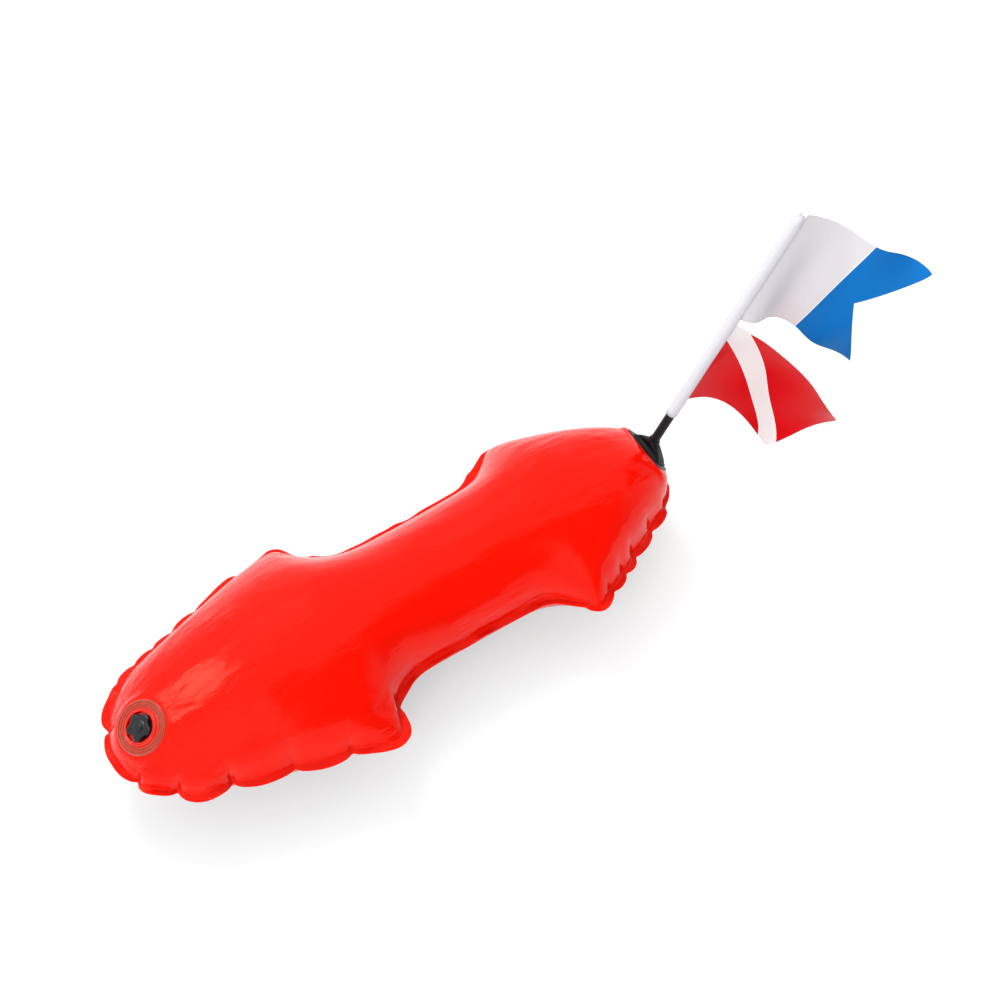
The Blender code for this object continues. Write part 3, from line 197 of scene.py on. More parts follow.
class Shader(Nodes):
    """A Principled material that is being wired."""

    def __init__(self, name: str, colour: Colour, roughness: float) -> None:
        """Start a material with a plain colour.

        Args:
            name: Name of the material.
            colour: Linear base colour.
            roughness: Roughness of the surface.
        """
        self.material = bpy.data.materials.new(name)
        super().__init__(self.material)
        self.surface = self.tree.nodes["Principled BSDF"]
        self.roughness = roughness
        self.set(Base_Color=(*colour, 1.0), Roughness=roughness)

    def set(self, **sockets: object) -> None:
        """Set or link sockets of the surface, named with underscores for spaces."""
        for key, value in sockets.items():
            self.feed(self.surface, key.replace("_", " "), value)

    def place(self) -> NodeSocket:
        """Return the object coordinates, which are the frame's own metres."""
        return self.add("ShaderNodeTexCoord").outputs["Object"]

    def cut(self) -> list[NodeSocket]:
        """Return a sheet's two coordinates in its flat cut, in metres, from its UV map."""
        uv = self.add("ShaderNodeTexCoord").outputs["UV"]
        split = self.add("ShaderNodeSeparateXYZ", {0: uv})
        return [self.math("DIVIDE", split.outputs[axis], CUT_SCALE) for axis in (0, 1)]

    def attribute(self, name: str) -> NodeSocket:
        """Return a number that the mesh carries."""
        return self.add("ShaderNodeAttribute", attribute_name=name).outputs["Fac"]

    def noise(self, size: float, detail: float, stretch: tuple = (1.0, 1.0, 1.0)) -> NodeSocket:
        """Return noise whose features are about size metres across."""
        spot = self.add("ShaderNodeMapping", {"Vector": self.place(), "Scale": stretch}).outputs[0]
        inputs = {"Vector": spot, "Scale": 1.0 / size, "Detail": detail}
        return self.add("ShaderNodeTexNoise", inputs).outputs[0]

    def mix(self, share: NodeSocket, first: object, second: object) -> NodeSocket:
        """Return a mix of two colours, each a socket or a linear colour."""
        ends = [value if isinstance(value, NodeSocket) else (*value, 1.0) for value in (first, second)]
        return self.add("ShaderNodeMix", {0: share, 6: ends[0], 7: ends[1]}, data_type="RGBA").outputs[2]

    def bump(self, height: NodeSocket, rise: float, under: NodeSocket | None = None) -> NodeSocket:
        """Return the normal of a surface raised by height times rise metres."""
        inputs = {"Height": height, "Distance": rise, "Strength": 1.0}
        if under is not None:
            inputs["Normal"] = under
        return self.add("ShaderNodeBump", inputs).outputs[0]

    def worn(self, size: float, detail: float, low: float, high: float) -> None:
        """Let the roughness vary by noise between two shares of its value."""
        self.set(Roughness=self.spread(self.noise(size, detail), self.roughness * low, self.roughness * high))

    def grain(self, size: float, detail: float, rise: float) -> None:
        """Raise the surface by fine noise."""
        self.set(Normal=self.bump(self.noise(size, detail), rise))

    def past(self, value: NodeSocket, edge: float, low: float = 0.0, high: float = 1.0) -> NodeSocket:
        """Return low before an edge of a print and high past it, with a hair of blur."""
        return self.spread(value, low, high, edge - PRINT_BLUR, edge + PRINT_BLUR)


@dataclass(frozen=True)
class Finish:
    """One finish, and by itself a smooth moulded plastic with faint flow marks.

    Attributes:
        slot: The record's slot that it stands for.
        colour: Its linear colour.
        roughness: Its roughness.
    """

    slot: str
    colour: Colour
    roughness: float

    def material(self) -> Material:
        """Return the finish's material, made once."""
        name = self.slot + "_look"
        if name not in bpy.data.materials:
            self.wire(Shader(name, self.colour, self.roughness))
        return bpy.data.materials[name]

    def wire(self, shader: Shader) -> None:
        """Wire the material."""
        shader.worn(0.008, 4.0, 0.8, 1.4)
        shader.grain(0.0035, 3.0, 0.00004)


@dataclass(frozen=True)
class PvcFilm(Finish):
    """Glossy welded film of the hull, with a finer pattern pressed in its weld."""

    weld_width: float = 0.0088
    weld_pitch: float = 0.0016
    crinkle_reach: float = 0.026
    gloss: tuple = (1.0, 0.52, 0.36, 1.0)
    # Colour the film shows to diffuse rays instead of its red: the light it bounces onto the floor and itself
    # is painted nearly grey
    bounce: tuple = (0.10, 0.05, 0.05)

    def wire(self, shader: Shader) -> None:
        """Wire the material."""
        shader.set(IOR=1.38, Specular_Tint=self.gloss)
        deep = tuple(channel * 0.90 for channel in self.colour)
        shown = shader.mix(shader.spread(shader.noise(0.09, 3.0), 0.0, 0.35, 0.35, 0.75), self.colour, deep)
        # Painted bounce light: diffuse rays see the bounce colour, camera and glossy rays see the film's own
        # colour
        shader.set(Base_Color=shader.mix(shader.rays("Is Diffuse Ray"), shown, self.bounce))
        shader.worn(0.02, 4.0, 0.85, 1.3)
        rim = shader.attribute("rim")
        on_weld = shader.spread(rim, 1.0, 0.0, self.weld_width * 0.93, self.weld_width)
        waves = {"Vector": shader.place(), "Scale": 0.05 / self.weld_pitch * math.tau}
        checks = [shader.add("ShaderNodeTexWave", waves, bands_direction=axis).outputs["Fac"]
                  for axis in "XY"]
        pressed = shader.math("MULTIPLY", shader.math("MAXIMUM", *checks), on_weld)
        near_weld = shader.spread(rim, 1.0, 0.0, self.weld_width, self.crinkle_reach)
        crinkle = shader.math("MULTIPLY", shader.noise(0.007, 4.0), near_weld)
        slack = shader.bump(shader.noise(0.045, 6.0, stretch=(0.45, 1.0, 1.0)), 0.0024)
        patchy = shader.spread(shader.noise(0.11, 2.0), 0.25, 1.0, 0.42, 0.60)
        streaky = shader.math("MULTIPLY", shader.noise(0.014, 4.0, stretch=(0.28, 1.0, 1.0)), patchy)
        streaks = shader.bump(streaky, 0.0027, under=slack)
        fine = shader.bump(shader.noise(0.004, 3.0), 0.00004, under=streaks)
        shader.set(Normal=shader.bump(pressed, 0.00006, under=shader.bump(crinkle, 0.0007, under=fine)))


@dataclass(frozen=True)
class SoftPvc(Finish):
    """Clear-brown soft plastic of the valve flange, redder where its collar shows the seat through."""

    inner: Colour = (0.85, 0.02, 0.005)
    inner_reach: Point = (0.0228, 0.0246)

    def wire(self, shader: Shader) -> None:
        """Wire the material."""
        shader.set(Coat_Weight=0.4, Coat_Roughness=0.08)
        tint = tuple(min(1.0, channel * 1.35) for channel in self.colour)
        band = shader.mix(shader.spread(shader.noise(0.006, 3.0), 0.0, 0.6, 0.3, 0.7), self.colour, tint)
        collar = shader.spread(shader.attribute("reach"), 1.0, 0.0, *self.inner_reach)
        shader.set(Base_Color=shader.mix(collar, band, self.inner))
        shader.grain(0.0025, 2.0, 0.00005)


@dataclass(frozen=True)
class Rubber(Finish):
    """Matt moulded rubber, a little dusty in patches."""

    def wire(self, shader: Shader) -> None:
        """Wire the material."""
        shader.set(Specular_IOR_Level=0.25)
        dusty = tuple(channel + 0.006 for channel in self.colour)
        dust = shader.spread(shader.noise(0.012, 5.0), 0.0, 0.8, 0.45, 0.75)
        shader.set(Base_Color=shader.mix(dust, self.colour, dusty))
        shader.worn(0.003, 4.0, 0.85, 1.15)
        shader.grain(0.0005, 2.0, 0.00004)


@dataclass(frozen=True)
class Webbing(Finish):
    """Woven polyester tape: ribs across it and yarns along it."""

    rib: float = 0.0011

    def wire(self, shader: Shader) -> None:
        """Wire the material."""
        shader.set(Sheen_Weight=0.25, Sheen_Roughness=0.5)
        along, across = shader.cut()
        scale = math.tau / self.rib
        ribs = shader.math("SINE", shader.math("MULTIPLY", along, scale))
        yarns = shader.math("SINE", shader.math("MULTIPLY", across, scale * 0.8))
        weave = shader.math("MULTIPLY", ribs, yarns)
        light = tuple(channel * 2.6 + 0.004 for channel in self.colour)
        shader.set(Base_Color=shader.mix(shader.spread(weave, 0.0, 1.0, -1.0, 1.0), self.colour, light))
        shader.set(Normal=shader.bump(weave, 0.00022))


@dataclass(frozen=True)
class FlagVinyl(Finish):
    """Flexible printed vinyl sheet, its print laid out on the flat cut."""

    pattern: Print | None = None

    def wire(self, shader: Shader) -> None:
        """Wire the material."""
        shader.set(Specular_IOR_Level=0.12)
        if self.pattern is not None:
            printed = self.two_halves if self.pattern is Print.SWALLOWTAIL else self.diagonal
            shader.set(Base_Color=printed(shader))
        shader.worn(0.01, 4.0, 0.9, 1.15)
        fine = shader.bump(shader.noise(0.0009, 2.0), 0.00002)
        shader.set(Normal=shader.bump(shader.noise(0.02, 3.0), 0.0003, under=fine))

    def two_halves(self, shader: Shader) -> NodeSocket:
        """Return the colours of the swallowtail flag: pale hoist, bare line, blue fly."""
        along, _ = shader.cut()
        pale = shader.mix(shader.past(along, ALPHA_SPLIT - PRINT_LINE), PALE_PRINT, self.colour)
        return shader.mix(shader.past(along, ALPHA_SPLIT), pale, BLUE_PRINT)

    def diagonal(self, shader: Shader) -> NodeSocket:
        """Return the colours of the diagonal flag: two red triangles, bare lines and a pale stripe."""
        along, up = shader.cut()
        slope = DIVER_RUN / DIVER_RISE
        fly_slope = DIVER_RUN / DIVER_FLY_RISE
        line = PRINT_LINE * math.hypot(1.0, slope)
        second = DIVER_FLY + DIVER_HOIST * fly_slope - DIVER_RUN
        lower = shader.math("MULTIPLY_ADD", up, slope, along)
        upper = shader.math("MULTIPLY_ADD", up, fly_slope, along)
        inside = shader.math("MULTIPLY", shader.past(lower, DIVER_RUN + line),
                             shader.past(upper, second - line, 1.0, 0.0))
        base = shader.mix(inside, self.colour, BAND_PRINT)
        red = shader.math("MAXIMUM", shader.past(lower, DIVER_RUN, 1.0, 0.0), shader.past(upper, second))
        below_hem = shader.past(up, DIVER_HOIST - TOP_BORDER, 1.0, 0.0)
        return shader.mix(shader.math("MULTIPLY", red, below_hem), base, RED_PRINT)


PALE_PRINT = linear(222, 220, 223)
BAND_PRINT = linear(242, 236, 236)
BLUE_PRINT = linear(6, 112, 190)
RED_PRINT = linear(216, 4, 16)

HULL_FILM = PvcFilm("float_pvc", linear(254, 16, 2), 0.14)
FLANGE_PVC = SoftPvc("valve_soft_pvc", linear(174, 54, 30), 0.26)
SEAT_PLASTIC = Finish("valve_red_plastic", linear(240, 30, 12), 0.14)
BLACK_PLASTIC = Finish("black_plastic", linear(10, 12, 18), 0.26)
BLACK_PVC = Finish("black_pvc", linear(26, 28, 30), 0.42)
BLACK_RUBBER = Rubber("black_rubber", linear(13, 14, 16), 0.46)
BLACK_WEBBING = Webbing("black_webbing", linear(22, 22, 24), 0.75)
ROD_PLASTIC = Finish("mast_rod_plastic", linear(34, 34, 36), 0.3)
# The sleeve is white vinyl given a grey colour: painted shade on the tube
SHADED_SLEEVE_VINYL = FlagVinyl("white_flag_vinyl", linear(217, 215, 221), 0.38)
ALPHA_VINYL = FlagVinyl("white_blue_vinyl", linear(246, 246, 248), 0.42, Print.SWALLOWTAIL)
DIVER_VINYL = FlagVinyl("red_white_vinyl", linear(248, 246, 246), 0.42, Print.DIAGONAL)


def arc(centre: tuple, radius: float, start: float, end: float, count: int) -> list[Point]:
    """Return points on an arc, both ends included.

    Args:
        centre: Centre of the arc.
        radius: Radius of the arc.
        start: First angle in radians.
        end: Last angle in radians.
        count: Number of equal parts.

    Returns:
        The points, in order.
    """
    angles = np.linspace(start, end, count + 1)
    return [(centre[0] + radius * math.cos(a), centre[1] + radius * math.sin(a)) for a in angles]


def fillet(corners: list[tuple], closed: bool = False, step: float = 15.0) -> list[Point]:
    """Round the corners of a path of (x, y, radius).

    Args:
        corners: The corners, with the radius of each.
        closed: Whether the path comes back to its start.
        step: Largest turn of one part of an arc, in degrees.

    Returns:
        The points of the rounded path.
    """
    points = []
    count = len(corners)
    for index, (x, y, radius) in enumerate(corners):
        here = Vector((x, y))
        if radius == 0.0 or not closed and index in (0, count - 1):
            points.append((x, y))
            continue
        back = (Vector(corners[index - 1][:2]) - here).normalized()
        ahead = (Vector(corners[(index + 1) % count][:2]) - here).normalized()
        opening = back.angle(ahead)
        centre = here + (back + ahead).normalized() * radius / math.sin(opening / 2)
        start = here + back * radius / math.tan(opening / 2) - centre
        finish = here + ahead * radius / math.tan(opening / 2) - centre
        turn = start.angle_signed(finish)
        first = math.atan2(start.y, start.x)
        parts = max(2, math.ceil(abs(turn) / math.radians(step)))
        points.extend(arc(tuple(centre), radius, first, first - turn, parts))
    return points


def turns(count: int) -> np.ndarray:
    """Return the angles of evenly spaced points round a circle, in radians."""
    return math.tau * np.arange(count) / count


def superellipse(half_x: float, half_y: float, power: float, count: int) -> np.ndarray:
    """Return the points of a superellipse round the origin."""
    cosine, sine = np.cos(turns(count)), np.sin(turns(count))
    return np.column_stack([np.copysign(np.abs(cosine) ** (2 / power), cosine) * half_x,
                            np.copysign(np.abs(sine) ** (2 / power), sine) * half_y])


def eased(value: np.ndarray) -> np.ndarray:
    """Return an eased step that rises from 0 at 0 to 1 at 1."""
    share = np.clip(value, 0.0, 1.0)
    return share * share * (3 - 2 * share)


def spun(profile: list[Point], steps: int, matrix: Matrix, closed: bool = False) -> BMesh:
    """Spin a profile of (radius, height) about Z and put it in place.

    Args:
        profile: The points of the profile.
        steps: Number of steps round the axis.
        matrix: Where the axis stands.
        closed: Whether the profile's last point joins its first.

    Returns:
        The turned shape, its faces outwards.
    """
    bm = bmesh.new()
    verts = [bm.verts.new((radius, 0.0, height)) for radius, height in profile]
    for first, second in zip(verts, verts[1:]):
        bm.edges.new((first, second))
    if closed:
        bm.edges.new((verts[-1], verts[0]))
    bmesh.ops.spin(bm, geom=[*bm.verts, *bm.edges], cent=(0, 0, 0), axis=(0, 0, 1), dvec=(0, 0, 0),
                   angle=math.tau, steps=steps, use_merge=True, use_duplicate=False)
    bmesh.ops.remove_doubles(bm, verts=bm.verts, dist=0.00001)
    bmesh.ops.recalc_face_normals(bm, faces=bm.faces)
    bmesh.ops.transform(bm, matrix=matrix, verts=bm.verts)
    return bm


def first_row(bm: BMesh, row: list) -> list[BMEdge]:
    """Start a ring of vertices that know their station and level, and return its edges."""
    station = bm.verts.layers.int.new("station")
    bm.verts.layers.int.new("level")
    ring = bmesh.ops.create_circle(bm, cap_ends=False, radius=1.0, segments=len(row))["verts"]
    for index, vert in enumerate(ring):
        vert[station] = index
        vert.co = row[index]
    return list(bm.edges)


def next_row(bm: BMesh, edges: list, row: list, number: int) -> list[BMEdge]:
    """Extrude a ring of edges to the points of the row with this number, and return its new edges."""
    station = bm.verts.layers.int["station"]
    level = bm.verts.layers.int["level"]
    made = bmesh.ops.extrude_edge_only(bm, edges=edges)["geom"]
    for vert in (item for item in made if isinstance(item, BMVert)):
        vert.co = row[vert[station]]
        vert[level] = number
    return [item for item in made if isinstance(item, BMEdge)]


def stacked(rows: list, closed_ends: bool = True) -> BMesh:
    """Extrude a ring of vertices through a stack of rows of equal counts.

    Args:
        rows: The rows, each a list of points in order round the ring.
        closed_ends: Whether the first and last rows get a face.

    Returns:
        The shape, its faces outwards.
    """
    bm = bmesh.new()
    edges = first_row(bm, rows[0])
    ends = [edges]
    for number, row in enumerate(rows[1:], 1):
        edges = next_row(bm, edges, row, number)
    ends.append(edges)
    if closed_ends:
        for edges in ends:
            bmesh.ops.edgeloop_fill(bm, edges=edges)
    bmesh.ops.remove_doubles(bm, verts=bm.verts, dist=0.000005)
    bmesh.ops.recalc_face_normals(bm, faces=bm.faces)
    return bm


def meshed(bm: BMesh, name: str) -> Mesh:
    """Turn a bmesh into a mesh and let go of it."""
    mesh = bpy.data.meshes.new(name)
    bm.to_mesh(mesh)
    bm.free()
    return mesh


def linked(name: str, data: ID) -> Object:
    """Make an object of its data and link it to the scene."""
    item = bpy.data.objects.new(name, data)
    bpy.context.scene.collection.objects.link(item)
    return item


def finished(bm: BMesh, name: str, finish: Finish, body: str, *nodes: str) -> Object:
    """Make a piece of a bmesh, dress it and let it ride.

    Args:
        bm: The shape in the frame's coordinates.
        name: Name of the piece.
        finish: Its finish.
        body: Body that it rides on.
        *nodes: CAD nodes that it stands for.

    Returns:
        The piece.
    """
    mesh = meshed(bm, name)
    mesh.shade_smooth()
    mesh.set_sharp_from_angle(angle=SMOOTH)
    mesh.materials.append(finish.material())
    item = linked(name, mesh)
    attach(item, body)
    if nodes:
        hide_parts(*nodes)
    log.info("%s rides on %s", name, body)
    return item


def joint(name: str) -> dict:
    """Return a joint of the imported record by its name."""
    return next(item for item in frame["joints"] if item["name"] == name)


def axes(origin: Vector, z_axis: Vector, x_axis: Vector) -> Matrix:
    """Return the matrix of a frame from its origin, its Z axis and a vector near its X axis."""
    z_unit = z_axis.normalized()
    y_unit = z_unit.cross(x_axis).normalized()
    x_unit = y_unit.cross(z_unit)
    matrix = Matrix((x_unit, y_unit, z_unit)).transposed().to_4x4()
    matrix.translation = origin
    return matrix


def seat_of(node: str, x_axis: Vector) -> tuple[Matrix, float]:
    """Find the plane that a thin patch of the model lies on.

    Args:
        node: The patch's node.
        x_axis: A vector near the X axis of the frame wanted.

    Returns:
        The frame at the middle of the patch's underside, Z outwards, and the patch's radius.
    """
    points = np.array([vert.co for vert in frame["nodes"][node].data.vertices])
    centre = (points.max(axis=0) + points.min(axis=0)) / 2
    normal = Vector(np.linalg.svd(points - points.mean(axis=0))[2][2])
    inside = Vector((min(max(centre[0], HULL_CORE[0]), HULL_CORE[1]), 0.0, HULL.seam))
    if normal.dot(Vector(centre) - inside) < 0:
        normal.negate()
    heights = (points - centre) @ np.array(normal)
    frame_here = axes(Vector(centre) + normal * float(heights.min()), normal, x_axis)
    local = (points - np.array(frame_here.translation)) @ np.array(frame_here.to_3x3())
    return frame_here, float(np.hypot(local[:, 0], local[:, 1]).max())


@dataclass
class Pad:
    """A flat seat in the skin under a welded piece.

    Attributes:
        matrix: Frame of the plane, X along the hull and Z outwards.
        length: Half length of the seat.
        front: Half width at its front end.
        rear: Half width at its rear end.
        power: Power of the superellipse round it.
        blend: Distance over which the skin comes down to the plane.
    """

    matrix: Matrix
    length: float
    front: float
    rear: float
    power: float = 2.0
    blend: float = 0.010

    def plane(self, points: np.ndarray) -> np.ndarray:
        """Return the plane's height over plan points."""
        normal = self.matrix.col[2]
        origin = self.matrix.translation
        rise = (normal.x * (points[:, 0] - origin.x) + normal.y * (points[:, 1] - origin.y)) / normal.z
        return origin.z - rise

    def outside(self, points: np.ndarray) -> np.ndarray:
        """Return how far plan points are outside the seat, zero inside it."""
        spots = np.column_stack([points[:, :2], self.plane(points)]) - np.array(self.matrix.translation)
        local = spots @ np.array(self.matrix.to_3x3())
        share = np.clip((local[:, 0] / self.length + 1) / 2, 0.0, 1.0)
        wide = self.front + (self.rear - self.front) * share
        ratio = (np.abs(local[:, 0] / self.length) ** self.power + np.abs(local[:, 1] / wide) ** self.power)
        ratio = np.maximum(ratio ** (1 / self.power), 1.0)
        return np.hypot(local[:, 0], local[:, 1]) * (1 - 1 / ratio)


@dataclass
class Pucker:
    """One notch of the welded margin.

    Attributes:
        place: Distance of the notch along the seam from the nose, positive on the near side.
        depth: How far the notch draws the margin in.
        swell: How far the lobe after it stands out.
    """

    place: float
    depth: float
    swell: float


@dataclass
class Hull:
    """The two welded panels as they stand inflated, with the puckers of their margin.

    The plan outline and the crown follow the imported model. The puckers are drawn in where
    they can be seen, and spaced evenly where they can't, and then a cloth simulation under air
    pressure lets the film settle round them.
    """

    seam: float = 0.09725
    nose: float = -0.27
    length: float = 0.790
    weld: float = 0.009
    corners: tuple = (
        (0.0, 0.0350, 0.066), (0.062, 0.0953, 0.075), (0.318, 0.1655, 0.022), (0.340, 0.0985, 0.060),
        (0.560, 0.0985, 0.040), (0.606, 0.147, 0.022), (0.790, 0.053, 0.056),
    )
    chest: tuple = (0.270, 0.098)
    waist_crown: float = 0.081
    rump: tuple = (0.640, 0.096)
    belly: float = 0.003
    fullness: tuple = (0.62, 0.42, 0.58)
    floor: float = 0.0965
    spine: tuple = (0.050, 0.044)
    stations: int = 440
    rows: int = 18
    margin_rows: int = 5
    row_power: float = 1.25
    near_puckers: tuple = (
        (0.021, 0.037, 0.0105, 0.0008), (0.052, 0.073, 0.0085, 0.0035), (0.112, 0.100, 0.0085, 0.0045),
        (0.183, 0.125, 0.0030, 0.0058), (0.251, 0.142, 0.0035, 0.0060), (0.327, 0.124, 0.0060, 0.0000),
        (0.588, 0.130, 0.0020, 0.0015), (0.634, 0.1285, 0.0045, 0.0010), (0.660, 0.117, 0.0045, 0.0012),
        (0.687, 0.1055, 0.0050, 0.0010), (0.724, 0.0857, 0.0062, 0.0000), (0.757, 0.066, 0.0080, -0.0090),
        (0.783, 0.040, 0.0125, -0.0110), (0.789, 0.010, 0.0130, -0.0100),
    )
    far_puckers: tuple = (
        (0.0255, 0.038, 0.0110, 0.0010), (0.060, 0.088, 0.0020, 0.0010), (0.090, 0.100, 0.0016, 0.0008),
        (0.118, 0.108, 0.0018, 0.0010), (0.150, 0.117, 0.0018, 0.0010), (0.186, 0.128, 0.0020, 0.0010),
        (0.256, 0.146, 0.0048, -0.0120), (0.338, 0.114, 0.0000, 0.0000), (0.578, 0.112, 0.0010, -0.0100),
        (0.630, 0.131, 0.0050, 0.0010), (0.660, 0.118, 0.0045, 0.0010), (0.688, 0.105, 0.0050, 0.0005),
        (0.718, 0.089, 0.0060, 0.0000), (0.744, 0.075, 0.0080, -0.0020), (0.770, 0.058, 0.0110, -0.0060),
        (0.788, 0.030, 0.0130, -0.0085),
    )
    weld_share: float = 0.6
    lobe_reach: float = 0.020
    lobe_round: float = 0.55
    crease_reach: float = 0.020
    crease_width: float = 0.0034
    crease_spread: float = 0.14
    crease_depth: float = 0.0185
    crease_draw: float = 0.35
    crease_drop: float = 0.42
    notch_drop: float = 0.45
    notch_width: float = 0.0045
    taut: float = 0.14
    taut_end: float = 0.014
    seat_fade: float = 0.012
    wave_rise: float = 0.0009
    waves: tuple = ((0.061, 1.0, 0.0), (0.037, 0.6, 1.3))
    far_width: float = 0.0055
    far_front: tuple = (0.03, 0.045)
    far_rear: tuple = (0.61, 0.03)
    nose_swell: float = -0.0040
    tail_calm: float = 0.55
    tail_calm_from: tuple = (0.60, 0.05)
    tail_full: float = 0.14
    tail_full_from: tuple = (0.62, 0.12)
    spine_share: float = 0.15
    pressure: float = 7.0
    frames: int = 24
    cap: float = 0.0045
    hold: float = 0.014
    firm_reach: float = 0.004
    even_rows: int = 3
    even_clear: float = 0.003
    rest_pad: tuple = (0.045, 0.026, 0.035)
    bore_reach: float = 0.05
    pads: dict = field(default_factory=dict)

    @cached_property
    def edge(self) -> np.ndarray:
        """Plan outline from the nose round the near side, the tail and the far side."""
        half = np.array(fillet([(0.0, 0.0, 0.0), *self.corners, (self.length, 0.0, 0.0)], step=2.0))
        run = np.concatenate([[0.0], np.cumsum(np.linalg.norm(np.diff(half, axis=0), axis=1))])
        places = np.linspace(0.0, run[-1], self.stations // 2 + 1)
        half = np.column_stack([np.interp(places, run, half[:, axis]) for axis in (0, 1)])
        return np.concatenate([half * (1, -1), half[-2:0:-1]])

    @cached_property
    def seam_places(self) -> tuple[np.ndarray, float]:
        """Each station's signed distance from the nose along the seam, and half the seam's length."""
        steps = np.linalg.norm(np.roll(self.edge, -1, axis=0) - self.edge, axis=1)
        run = np.concatenate([[0.0], np.cumsum(steps)[:-1]])
        half = steps.sum() / 2
        return np.where(run <= half + 1e-9, run, run - 2 * half), half

    @cached_property
    def normal(self) -> np.ndarray:
        """Outward plan normal of every station."""
        along = np.roll(self.edge, -1, axis=0) - np.roll(self.edge, 1, axis=0)
        along /= np.linalg.norm(along, axis=1)[:, None]
        return np.column_stack([along[:, 1], -along[:, 0]])

    def crown(self, x: np.ndarray, bulge: float) -> np.ndarray:
        """Return the height of the centre line over the seam plane at hull stations x."""
        chest_x, chest = self.chest
        rump_x, rump = self.rump
        waist_x = (self.corners[3][0] + self.corners[4][0]) / 2
        chest, waist, rump = chest + bulge, self.waist_crown + bulge, rump + bulge
        front = np.clip((x - self.weld) / (chest_x - self.weld), 0.0, 1.0)
        rear = np.clip((self.length - self.weld - x) / (self.length - rump_x - self.weld), 0.0, 1.0)
        fall = np.clip((x - chest_x) / (waist_x - chest_x), 0.0, 1.0)
        rise = np.clip((x - waist_x) / (rump_x - waist_x), 0.0, 1.0)
        nose = chest * (1 - (1 - front) ** 2) ** self.fullness[0]
        tail = rump * (1 - (1 - rear) ** 2) ** self.fullness[1]
        before = chest + (waist - chest) * (1 - np.cos(math.pi * fall)) / 2
        after = waist + (rump - waist) * (1 - np.cos(math.pi * rise)) / 2
        height = np.where(x < chest_x, nose, np.where(x < waist_x, before, after))
        return np.where(x > rump_x, tail, height)

    @cached_property
    def plan_rows(self) -> np.ndarray:
        """Plan points of the rows from the weld line to the spine."""
        weld = self.edge - self.normal * self.weld
        places, half = self.seam_places
        share = (1 - self.spine_share) * (weld[:, 0] - weld[0, 0]) / np.ptp(weld[:, 0])
        share += self.spine_share * np.abs(places) / half
        first = weld[:, 0].min() + self.spine[0]
        last = weld[:, 0].max() - self.spine[1]
        spine = np.column_stack([first + (last - first) * share, np.zeros(len(share))])
        fractions = (np.arange(self.rows + 1) / self.rows) ** self.row_power
        return np.array([weld + (spine - weld) * fraction for fraction in fractions])

    @cached_property
    def rise(self) -> np.ndarray:
        """Rise of a film held at the weld under an even load, to a free scale, by conjugate gradients."""
        count, stations = self.plan_rows.shape[:2]
        points = self.plan_rows.reshape(-1, 2)
        index = np.arange(count * stations).reshape(count, stations)
        outer, inner = index[:-1], index[1:]
        outer_next, inner_next = np.roll(outer, -1, axis=1), np.roll(inner, -1, axis=1)
        tris = np.concatenate([np.stack([outer, outer_next, inner_next], axis=-1).reshape(-1, 3),
                               np.stack([outer, inner_next, inner], axis=-1).reshape(-1, 3)])
        corner = points[tris]
        side, other = corner[:, 1] - corner[:, 0], corner[:, 2] - corner[:, 0]
        area = np.maximum(np.abs(side[:, 0] * other[:, 1] - side[:, 1] * other[:, 0]) / 2, 1e-10)
        slope = np.stack([corner[:, [1, 2, 0], 1] - corner[:, [2, 0, 1], 1],
                          corner[:, [2, 0, 1], 0] - corner[:, [1, 2, 0], 0]], axis=-1)
        local = slope @ slope.transpose(0, 2, 1) / (4 * area)[:, None, None]
        size = len(points)
        load = np.bincount(tris.ravel(), np.repeat(area / 3, 3), size)
        scale = np.bincount(tris.ravel(), local[:, [0, 1, 2], [0, 1, 2]].ravel(), size)
        free = np.arange(size) >= stations
        rise = np.zeros(size)
        rest = np.where(free, load, 0.0)
        ready = rest / scale
        step = ready.copy()
        energy = rest @ ready
        for _ in range(900):
            pull = np.einsum("tij,tj->ti", local, step[tris])
            pull = np.where(free, np.bincount(tris.ravel(), pull.ravel(), size), 0.0)
            stride = energy / (step @ pull)
            rise += stride * step
            rest -= stride * pull
            ready = rest / scale
            energy, before = rest @ ready, energy
            if energy < 1e-16:
                break
            step = ready + step * energy / before
        return rise.reshape(count, stations)

    def dome(self, side: Side) -> np.ndarray:
        """Return the smooth inflated rows of one panel in the frame, before any pucker."""
        rows = self.plan_rows
        middle = np.abs(rows[..., 1]) < 1e-7
        order = np.argsort(rows[..., 0][middle])
        spine = np.interp(rows[..., 0], rows[..., 0][middle][order], self.rise[middle][order])
        share = np.divide(self.rise, spine, out=np.zeros_like(self.rise), where=spine > 1e-12)
        bulge = self.belly if side is Side.LOWER else 0.0
        full, run_in = self.tail_full_from
        power = self.fullness[2] - self.tail_full * eased((rows[..., 0] - full) / run_in)
        height = self.crown(rows[..., 0], bulge) * np.clip(share, 0.0, 1.0) ** power
        height[0] = 0.0
        if side is Side.LOWER:
            height = np.minimum(height, self.floor)
        z = self.seam + side.value * height
        return np.dstack([rows[..., 0] + self.nose, rows[..., 1], z])

    def seated(self, rows: np.ndarray, side: Side) -> tuple[np.ndarray, np.ndarray]:
        """Bring rows down to the flat seats of their panel.

        Args:
            rows: Rows of points in the frame.
            side: Which panel they are.

        Returns:
            The rows, and how far each point is outside the nearest seat.
        """
        points = rows.reshape(-1, 3).copy()
        clear = np.full(len(points), 1.0)
        for pad in self.pads[side]:
            away = pad.outside(points)
            points[:, 2] += eased(1 - away / pad.blend) * (pad.plane(points) - points[:, 2])
            clear = np.minimum(clear, away)
        return points.reshape(rows.shape), clear.reshape(rows.shape[:2])

